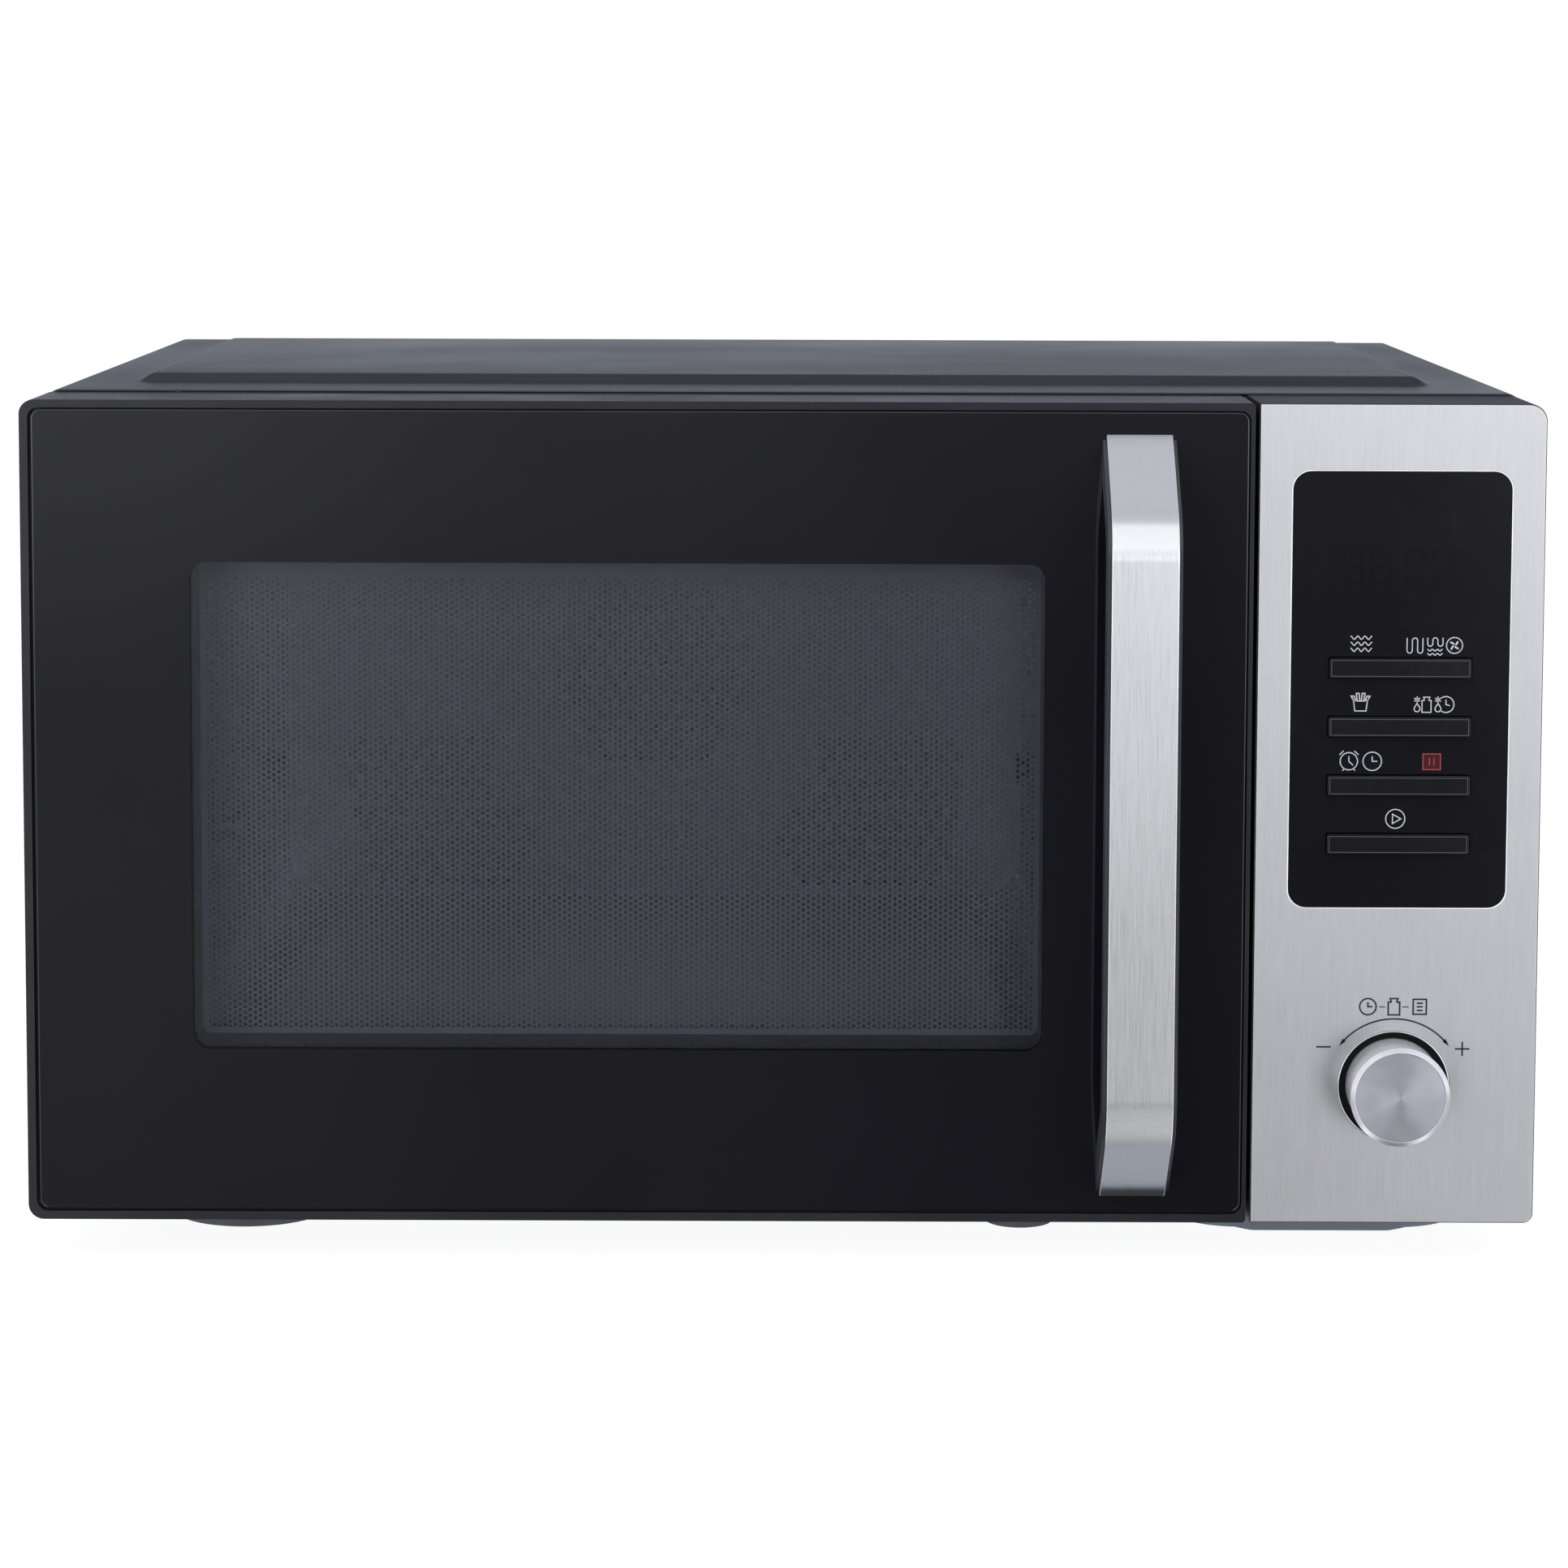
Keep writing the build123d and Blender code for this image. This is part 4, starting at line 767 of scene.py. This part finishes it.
def knob():
    """A polished bead round a black well whose near-black colour is partly painted shade of the recess, and
    the turned knob with its bright front edge.
    """
    x0, x1, front, back, z0, z1 = box_mm("knob_bezel")
    axis = ((x0 + x1) / 2, (z0 + z1) / 2)
    outer = (x1 - x0) / 2
    bead = 0.55
    inner = outer - bead
    well_radius = 17.4
    rim = [(outer - bead / 2 + bead / 2 * cos(a), front + bead / 2 - bead / 2 * sin(a))
           for a in (radians(30 * k) for k in range(7))]
    rim += [(inner, back), (outer, back)]
    turned_piece("knob_bead", rim, axis, "oven", "bezel_chrome", stands_for="knob_bezel")
    well = [(inner, front + 0.3), (inner - 0.3, front + 0.6), (well_radius, front + 1.4), (well_radius, back),
            (inner, back)]
    # the well's near-black finish is partly painted shade
    turned_piece("knob_well", well, axis, "oven", "well_painted_shade", slot="panel_black")

    x0, x1, front, back, _, _ = box_mm("knob_body")
    flange = (x1 - x0) / 2
    x0, x1 = box_mm("knob_cap")[:2]
    face = (x1 - x0) / 2
    bore = 14.0
    edge = 0.3
    shell = [(bore, back), (16.7, back), (17.0, back - 0.3), (16.9, front + 2.7), (16.6, front + 2.5),
             (16.6, front + 2.2), (17.2, front + 2.1)]
    shell += [(flange - edge + edge * cos(a), front + 1.3 - edge * sin(a))
              for a in (radians(-60 + 15 * k) for k in range(9))]
    shell += [(face + 0.55, front + 0.3), (face + 0.3, front + 0.1), (face + 0.15, front + 0.06),
              (face, front + 0.2), (face, front + 0.6), (bore, front + 0.6)]
    turned_piece("knob_shell", shell, axis, "knob", "knob_metal", smooth=30, stands_for="knob_body")
    disc = [(0.01, front + 0.02), (4.0, front + 0.04), (8.0, front + 0.08), (12.0, front + 0.15),
            (face - 0.15, front + 0.24), (face - 0.02, front + 0.34), (face - 0.02, front + 0.6)]
    turned_piece("knob_disc", disc, axis, "knob", "knob_face", closed=False, stands_for="knob_cap")


KEYS = ("function_key", "programme_key", "clock_stop_key", "start_key")

softened("control_panel_body", 0.4, FINISH["panel_black"], sink=TOP_SHADOW)
softened("control_fascia", 0.3, FINISH["fascia_steel"], sink=TOP_SHADOW)
softened("display_lens", 0.35, FINISH["lens_black"], segments=3)
for key in KEYS:
    softened(key, 0.6, FINISH["key_black"])
knob()


# ---------- icons


class Print:
    """A set of thin ink strokes on a surface that faces -Y at a given depth."""

    MITRE = 0.45  # a smaller number lets a sharp corner stick out further

    def __init__(self, name, surface, line):
        self.name = name
        self.surface = surface
        self.line = line
        self.points = []
        self.faces = []

    def stroke(self, path, closed=False, line=None):
        """A band of even width along a path of (x, z) points."""
        half = (line or self.line) / 2
        path = [Vector(p) for p in path]
        count = len(path)
        start = len(self.points)
        for i, p in enumerate(path):
            before = path[i - 1] if i or closed else p
            after = path[(i + 1) % count] if i < count - 1 or closed else p
            a = (p - before).normalized() if p != before else (after - p).normalized()
            b = (after - p).normalized() if p != after else a
            lean = a + b if (a + b).length > 1e-6 else a
            normal = Vector((-lean.y, lean.x)).normalized()
            reach = half / max(self.MITRE, normal.dot(Vector((-a.y, a.x))))
            for way in (-1, 1):
                q = p + normal * reach * way
                self.points.append((q.x, self.surface, q.y))
        for i in range(count if closed else count - 1):
            a = start + 2 * i
            b = start + 2 * ((i + 1) % count)
            self.faces.append((a, a + 1, b + 1, b))

    def area(self, outline):
        start = len(self.points)
        self.points += [(x, self.surface, z) for x, z in outline]
        self.faces.append(tuple(range(start, len(self.points))))

    def circle(self, x, z, radius):
        self.stroke(arc(x, z, radius, 0, 345, 23), closed=True)

    def finish(self, body, material, slot):
        mesh = clean(make_mesh(self.name, self.points, self.faces))
        mesh.shade_flat()
        obj = add_piece(self.name, mesh, body, material, slot=slot)
        made = sheet_thickness(obj, 0.05)
        made.offset = 0
        return obj


def rectangle(x, z, half_wide, half_high):
    """Corner points round x, z."""
    return [(x - half_wide, z - half_high), (x + half_wide, z - half_high),
            (x + half_wide, z + half_high), (x - half_wide, z + half_high)]


def waves(pad, x, z, long, height):
    """A wavy line of three waves."""
    turns = 3
    steps = 8 * turns
    pad.stroke([(x - long / 2 + long * k / steps, z + height * cos(tau * turns * k / steps))
                for k in range(steps + 1)])


def serpentine(pad, x, z, width, height):
    """A grill element symbol: four upright legs joined by round bends at alternate ends."""
    legs = 4
    gap = width / (legs - 1)
    bend = gap / 2
    path = [(x - width / 2, z + height / 2)]
    for k in range(legs - 1):
        low = k % 2 == 0
        cx = x - width / 2 + gap * (k + 0.5)
        cz = z - height / 2 + bend if low else z + height / 2 - bend
        path += arc(cx, cz, bend, 180, 360 if low else 0, 8)
    path.append((x + width / 2, z + height / 2))
    pad.stroke(path)


def clock_face(pad, x, z, radius):
    hand = radius * 0.55
    pad.circle(x, z, radius)
    pad.stroke([(x, z + hand), (x, z), (x + hand, z)])


def weight(pad, x, z, wide, high):
    """A scale weight with its neck and knob."""
    half, neck, knob_half = wide / 2, wide * 0.22, wide * 0.34
    low, shoulder, top = z - high / 2, z + high * 0.28, z + high / 2
    pad.stroke([(x - neck, shoulder), (x - half, shoulder), (x - half, low),
                (x + half, low), (x + half, shoulder), (x + neck, shoulder)])
    pad.stroke([(x - neck, shoulder), (x - knob_half, top), (x + knob_half, top), (x + neck, shoulder)])


def snow_and_drop(pad, x, z):
    """The defrost symbol: a snow star over a drop."""
    for turn in (0, 60, 120):
        a = radians(turn + 30)
        dx, dz = 1.2 * cos(a), 1.2 * sin(a)
        pad.stroke([(x - dx, z + 1.5 - dz), (x + dx, z + 1.5 + dz)])
    drop = [(x, z + 0.2)] + arc(x, z - 1.75, 1.05, 30, -210, 12)
    pad.stroke(drop, closed=True)


def display_icons():
    """The symbols over the keys: waves, grill and fan, basket, defrost, clocks, pause and start."""
    front = box_mm("display_lens")[2] - 0.03
    pad = Print("lens_icons", front, 0.36)
    for dz in (2.15, 0.0, -2.15):
        waves(pad, 204.9, 224.0 + dz, 7.6, 0.6)
    serpentine(pad, 223.9, 223.4, 5.6, 5.4)
    serpentine(pad, 231.1, 224.7, 5.4, 3.0)
    for dz in (-1.0, -2.5):
        waves(pad, 231.0, 222.8 + dz, 5.4, 0.3)
    fx, fz = 237.9, 223.5
    pad.circle(fx, fz, 2.85)
    for turn in (20, 110, 200, 290):
        curl = [(r, radians(turn + 18 * r)) for r in (0.35, 0.9, 1.4, 1.85)]
        pad.stroke([(fx + r * cos(a), fz + r * sin(a)) for r, a in curl], line=0.6)

    bx, bz = 204.9, 203.4
    pad.stroke([(bx - 2.5, bz + 0.6), (bx - 2.0, bz - 3.4), (bx + 2.0, bz - 3.4), (bx + 2.5, bz + 0.6)])
    pad.stroke([(bx - 2.7, bz + 0.6), (bx - 1.2, bz + 0.15), (bx + 1.2, bz + 0.15), (bx + 2.7, bz + 0.6)])
    for dx, tilt, high in ((-2.1, -0.7, 1.9), (-0.75, -0.25, 2.9), (0.75, 0.35, 2.9), (2.1, 0.7, 1.9)):
        x, tip = bx + dx, bx + dx + tilt
        foot, top = bz + 0.4, bz + high
        pad.stroke([(x - 0.45, foot), (tip - 0.5, top), (tip + 0.5, top), (x + 0.45, foot)], line=0.42)

    snow_and_drop(pad, 225.0, 202.6)
    weight(pad, 228.35, 202.3, 3.2, 5.4)
    snow_and_drop(pad, 232.4, 202.6)
    pad.stroke(arc(235.2, 202.4, 2.85, 125, -125, 22))
    pad.stroke([(235.2, 204.1), (235.2, 202.4), (236.6, 202.0)])

    ax, az = 201.1, 182.0
    pad.circle(ax, az, 3.1)
    pad.stroke([(ax, az + 1.8), (ax, az), (ax + 1.5, az - 1.4)])
    for way in (-1, 1):
        pad.stroke([(ax + way * 1.9, az + 3.7), (ax + way * 3.4, az + 2.3)])
        pad.stroke([(ax + way * 1.7, az - 2.6), (ax + way * 2.2, az - 3.4)])
    clock_face(pad, 209.4, 182.0, 3.3)

    sx, sz = 217.9, 161.4
    pad.circle(sx, sz, 3.4)
    pad.stroke([(sx - 1.0, sz + 1.7), (sx + 2.0, sz), (sx - 1.0, sz - 1.7)], closed=True)
    pad.finish("oven", ink("icon_ink", (0.55, 0.56, 0.59)), "lens_black")

    px, pz = 230.5, 181.9
    base = Print("pause_ground", front, 0.5)
    base.area(rectangle(px, pz, 3.2, 2.9))
    base.finish("oven", ink("pause_ground_ink", (0.050, 0.002, 0.004)), "lens_black")
    mark = Print("pause_mark", front - 0.04, 0.36)
    mark.stroke(rectangle(px, pz, 3.1, 2.8), closed=True)
    for dx in (-0.8, 0.8):
        mark.stroke([(px + dx, pz - 1.4), (px + dx, pz + 1.4)])
    mark.finish("oven", ink("pause_ink", (0.34, 0.06, 0.075)), "lens_black")


def display_digits():
    """The unlit segments of the clock, just visible behind the lens."""
    pad = Print("display_segments", box_mm("display_lens")[2] - 0.02, 0.9)
    half_high, half_wide, gap = 6.0, 3.2, 0.8
    z = 251.5
    for x in (201.5, 211.5, 223.5, 233.5):
        for level in (z - half_high, z, z + half_high):
            pad.stroke([(x - half_wide + gap, level), (x + half_wide - gap, level)])
        for side in (x - half_wide, x + half_wide):
            for half in (-1, 1):
                pad.stroke([(side, z + half * gap), (side, z + half * (half_high - gap))])
    for dz in (-2.6, 2.6):
        pad.area(rectangle(217.5, z + dz, 0.5, 0.5))
    tone = moulded("segment_tone", (0.0030, 0.0030, 0.0042), 0.09, grain=6.0, depth=0.004)
    pad.finish("oven", tone, "display_dark")


def fascia_prints():
    """Over the knob: clock, weight and list symbols, a turning arrow, minus and plus."""
    pad = Print("fascia_prints", box_mm("control_fascia")[2] - 0.03, 0.58)
    row = 93.7
    clock_face(pad, 209.2, row, 2.95)
    weight(pad, 218.5, row, 4.1, 5.9)
    mx = 227.7
    pad.stroke(rectangle(mx, row, 2.35, 2.7), closed=True)
    for dz in (-1.3, 0.0, 1.3):
        pad.stroke([(mx - 1.1, row + dz), (mx + 1.1, row + dz)])
    for x in (214.3, 222.6):
        pad.stroke([(x - 1.1, 93.6), (x + 1.1, 93.6)], line=0.36)
    kx, kz, reach = 218.75, 64.9, 24.4
    pad.stroke(arc(kx, kz, reach, 40, 140, 48))
    for end, turn in ((40, -1), (140, 1)):
        a = radians(end)
        spot = Vector((kx + reach * cos(a), kz + reach * sin(a)))
        way = Vector((-sin(a), cos(a))) * turn
        across = Vector((way.y, -way.x)) * 0.75
        pad.area([spot + way * 1.6, spot - way * 1.4 + across, spot - way * 1.4 - across])
    minus = [(191.0, 79.1), (196.2, 79.1)]
    plus_across, plus_up = [(240.5, 78.5), (245.7, 78.5)], [(243.1, 75.9), (243.1, 81.1)]
    for sign in (minus, plus_across, plus_up):
        pad.stroke(sign, line=0.6)
    pad.finish("oven", ink("print_ink", (0.020, 0.020, 0.024)), "fascia_steel")


def lens_rim():
    """The bright cut edge of the steel round the display lens."""
    x0, x1, _, _, z0, z1 = box_mm("display_lens")
    radius, out = 6.6, 0.15
    left, right, low, high = x0 + radius, x1 - radius, z0 + radius, z1 - radius
    path = []
    for x, z, start in ((right, high, 0), (left, high, 90), (left, low, 180), (right, low, 270)):
        path += arc(x, z, radius + out, start, start + 90, 8)
    pad = Print("lens_rim", box_mm("control_fascia")[2] - 0.02, 0.34)
    pad.stroke(path, closed=True)
    steel = cast_metal("cut_edge", (0.86, 0.86, 0.88), 0.45, grain=0.3, depth=0.004)
    pad.finish("oven", steel, "fascia_steel")


def paint_key_highlights():
    """Painted highlight: a lighter line on the face of each key, standing in for the light its rounded edge
    catches.
    """
    # painted highlight colour, drawn with the ink material
    highlight_ink = ink("key_painted_highlight", (0.075, 0.077, 0.083))
    inset = 0.72  # just inside the rounded edge
    for key in KEYS:
        front = box_mm(key)[2]
        face = [v.co / MM for v in NODES[key].data.vertices if v.co.y / MM < front + 0.01]
        x0, x1 = min(v.x for v in face) + inset, max(v.x for v in face) - inset
        z0, z1 = min(v.z for v in face) + inset, max(v.z for v in face) - inset
        pad = Print(key + "_edge", front - 0.02, 0.26)
        pad.stroke([(x0, z0), (x0, z1), (x1, z1), (x1, z0)], closed=True)
        pad.finish(BODY_OF[key], highlight_ink, "key_black")


display_icons()
display_digits()
fascia_prints()
lens_rim()
paint_key_highlights()


# ---------- other parts kept from CAD


def tapered_pads(feet):
    """The pads under the tub run out in slopes at both ends, in the tub's own paint."""
    pad_x0, pad_x1, pad_top = 169.0, 229.0, 1.6
    middle, lean = 199.0, 8.0
    for v in feet.data.vertices:
        x, z = v.co.x / MM, v.co.z / MM
        if pad_x0 < x < pad_x1 and z < pad_top:
            side = 1 if x > middle else -1
            v.co.x += side * MM * (lean / 2 - lean * (1 - z / pad_top))
    for face in feet.data.polygons:
        if face.center.x / MM > pad_x0 - lean:
            face.material_index = 1


def latch_coil():
    """The spring over the latch hooks, with closed end turns."""
    x0, x1, y0, y1, z0, z1 = box_mm("latch_spring")
    cx, cy = (x0 + x1) / 2, (y0 + y1) / 2
    wire = 0.4
    radius = (x1 - x0) / 2 - wire
    turns, steps, sides = 8, 24, 8
    closed_rise = 2.1 * wire
    open_rise = (z1 - z0 - 2 * wire - 2 * closed_rise) / (turns - 2)
    around = [tau * j / sides for j in range(sides)]
    section = [(radius + wire * cos(b), wire * sin(b)) for b in around]
    rings = []
    z = z0 + wire
    for k in range(turns * steps + 1):
        a = tau * k / steps
        rings.append([(cx + r * cos(a), cy + r * sin(a), z + up) for r, up in section])
        z += (open_rise if steps <= k < (turns - 1) * steps else closed_rise) / steps
    mesh = clean(make_mesh("latch_coil", *loft(rings)), smooth=60)
    coil = add_piece("latch_coil", mesh, "door", FINISH["spring_steel"], stands_for="latch_spring")
    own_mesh(coil)


tapered_pads(softened("feet", 0.5, [FINISH["foot_grey"], FINISH["base_grey"]]))
latch_coil()
softened("front_frame", 0.3, FINISH["frame_steel"])
softened("cord_inlet", 0.4, FINISH["gland_black"])
softened("rear_fan_cover", 0.2, FINISH["zinc_steel"])

for node, obj in NODES.items():
    if obj.hide_render:
        continue
    obj.data.materials.clear()
    obj.data.materials.append(FINISH[SLOT_OF[node]])


# ---------- stage and camera

TONE = 4.0  # the brightest tone that the world's ramps can hold


def world():
    """A studio as seen from the object: bright sides and back, a darker patch behind the camera."""
    made = bpy.data.worlds.new("studio")
    bpy.context.scene.world = made
    made.use_nodes = True
    g = Graph(made.node_tree)
    out = g.node("OutputWorld")
    where = g.node("TexCoord")
    split = g.node("SeparateXYZ")
    g.link(where.outputs["Generated"], split.inputs[0])

    def ramp(source, stops, hue=(1.0, 1.0, 1.0)):
        """A smooth tone along one direction component, from (place, tone) stops."""
        tone = g.node("ValToRGB")
        tone.color_ramp.interpolation = "EASE"
        points = tone.color_ramp.elements
        while len(points) < len(stops):
            points.new(0.5)
        for point, (place, value) in zip(points, stops):
            point.position = (place + 1) / 2
            point.color = (*(value / TONE * share for share in hue), 1)
        g.link(g.span(source, 0, 1, -1, 1), tone.inputs[0])
        return tone.outputs[0]

    x, y, z = split.outputs
    sides = ramp(x, [(-1, 1.3), (-0.82, 1.1), (-0.66, 1.0), (-0.5, 3.0), (-0.36, 1.9), (-0.15, 0.38),
                     (-0.04, 0.22), (0.065, 0.12), (0.13, 0.12), (0.2, 0.3), (0.36, 1.9), (0.5, 3.0),
                     (0.66, 1.0), (0.82, 1.1), (1, 1.3)])
    height = ramp(z, [(-1, 1.25), (-0.5, 1.0), (-0.28, 0.72), (-0.14, 1.02), (-0.05, 2.05), (0.2, 1.6),
                      (1, 1.2)])
    above = ramp(z, [(-1, 0.8), (0.0, 1.6), (0.2, 1.6), (0.78, 1.55), (0.85, 0.82), (1, 0.82)])
    behind = ramp(z, [(-1, 0.6), (0.0, 0.72), (0.09, 0.62), (0.15, 0.03), (0.45, 0.03), (0.7, 0.8), (1, 1.0)],
                  hue=(0.90, 0.96, 1.07))
    is_above = ramp(z, [(-1, 0.0), (0.12, 0.0), (0.32, TONE), (1, TONE)])
    is_behind = ramp(y, [(-1, 0.0), (-0.2, 0.0), (0.45, TONE), (1, TONE)])
    from_below = ramp(z, [(-1, 0.12), (-0.1, 0.2), (0.15, 1.0), (1, 1.0)])

    restore = (TONE,) * 3
    ahead = g.vector("MULTIPLY", g.vector("MULTIPLY", sides, height), restore)
    whole = g.blend(is_behind, g.blend(is_above, ahead, above), behind)
    bright = g.vector("MULTIPLY", whole, (0.98 * TONE, 0.99 * TONE, 1.03 * TONE))
    dimmed = g.vector("MULTIPLY", g.vector("MULTIPLY", bright, from_below), restore)
    path = g.node("LightPath")
    lit = g.node("Background")
    g.feed(lit.inputs["Color"], g.blend(path.outputs["Is Diffuse Ray"], bright, dimmed))
    plain = g.node("Background")
    g.feed(plain.inputs["Color"], (1, 1, 1))
    seen = g.mixed_shaders(path.outputs["Is Camera Ray"], lit.outputs[0], plain.outputs[0])
    g.link(seen, out.inputs["Surface"])


def area_light(name, place, target, size, power):
    """A soft lamp at place that shines towards target and isn't seen itself."""
    lamp = bpy.data.lights.new(name, "AREA")
    lamp.shape = "RECTANGLE"
    lamp.size, lamp.size_y = size
    lamp.energy = power
    obj = bpy.data.objects.new(name, lamp)
    bpy.context.scene.collection.objects.link(obj)
    obj.location = place
    obj.rotation_euler = (Vector(target) - Vector(place)).to_track_quat("-Z", "Y").to_euler()
    obj.visible_glossy = False
    obj.visible_camera = False


def floor():
    """Pale paper that glows evenly, so that only a soft shadow shows on it."""
    size = 6.0
    points = [(-size, -size, 0), (size, -size, 0), (size, size, 0), (-size, size, 0)]
    mesh = bpy.data.meshes.new("floor")
    mesh.from_pydata(points, [], [(0, 1, 2, 3)])
    f = Finish("floor_paper", roughness=0.8, emission_color=(1, 1, 1), emission_strength=0.93)
    f.put("Base Color", f.blend(f.noise(0.003), (0.11, 0.11, 0.11), (0.13, 0.13, 0.13)))
    f.bump((f.noise(0.4, detail=2.0), 0.05, 0.05))
    mesh.materials.append(f.material)
    obj = bpy.data.objects.new("floor", mesh)
    bpy.context.scene.collection.objects.link(obj)
    obj.visible_glossy = False
    obj.visible_diffuse = False


def camera():
    """The photograph's view. Its verticals were straightened, which the lens shift follows in part."""
    pitch_down = 5.535
    roll = 0.18
    lens = bpy.data.cameras.new("camera")
    lens.lens = 105.28
    lens.sensor_width = 36.0
    lens.shift_y = -0.15
    lens.clip_start = 0.01
    lens.clip_end = 50.0
    obj = bpy.data.objects.new("camera", lens)
    bpy.context.scene.collection.objects.link(obj)
    obj.location = (0.0004, -1.8, 0.4134)
    aim = Matrix.Rotation(radians(90 - pitch_down), 3, "X")
    obj.rotation_euler = (aim @ Matrix.Rotation(radians(roll), 3, "Z")).to_euler()
    bpy.context.scene.camera = obj


world()
floor()
MIDDLE = (0, 0, 0.15)
area_light("key", (-1.2, -1.0, 2.2), MIDDLE, (1.6, 1.6), 29)
area_light("fill", (1.6, -0.8, 1.6), MIDDLE, (1.4, 1.4), 6)
area_light("back", (0.0, 2.0, 1.8), MIDDLE, (2.0, 1.2), 6)
area_light("cavity", (-0.055, -0.11, 0.262), (-0.055, 0.12, 0.10), (0.24, 0.03), 0.10)
camera()
bpy.context.scene.view_settings.view_transform = "Standard"
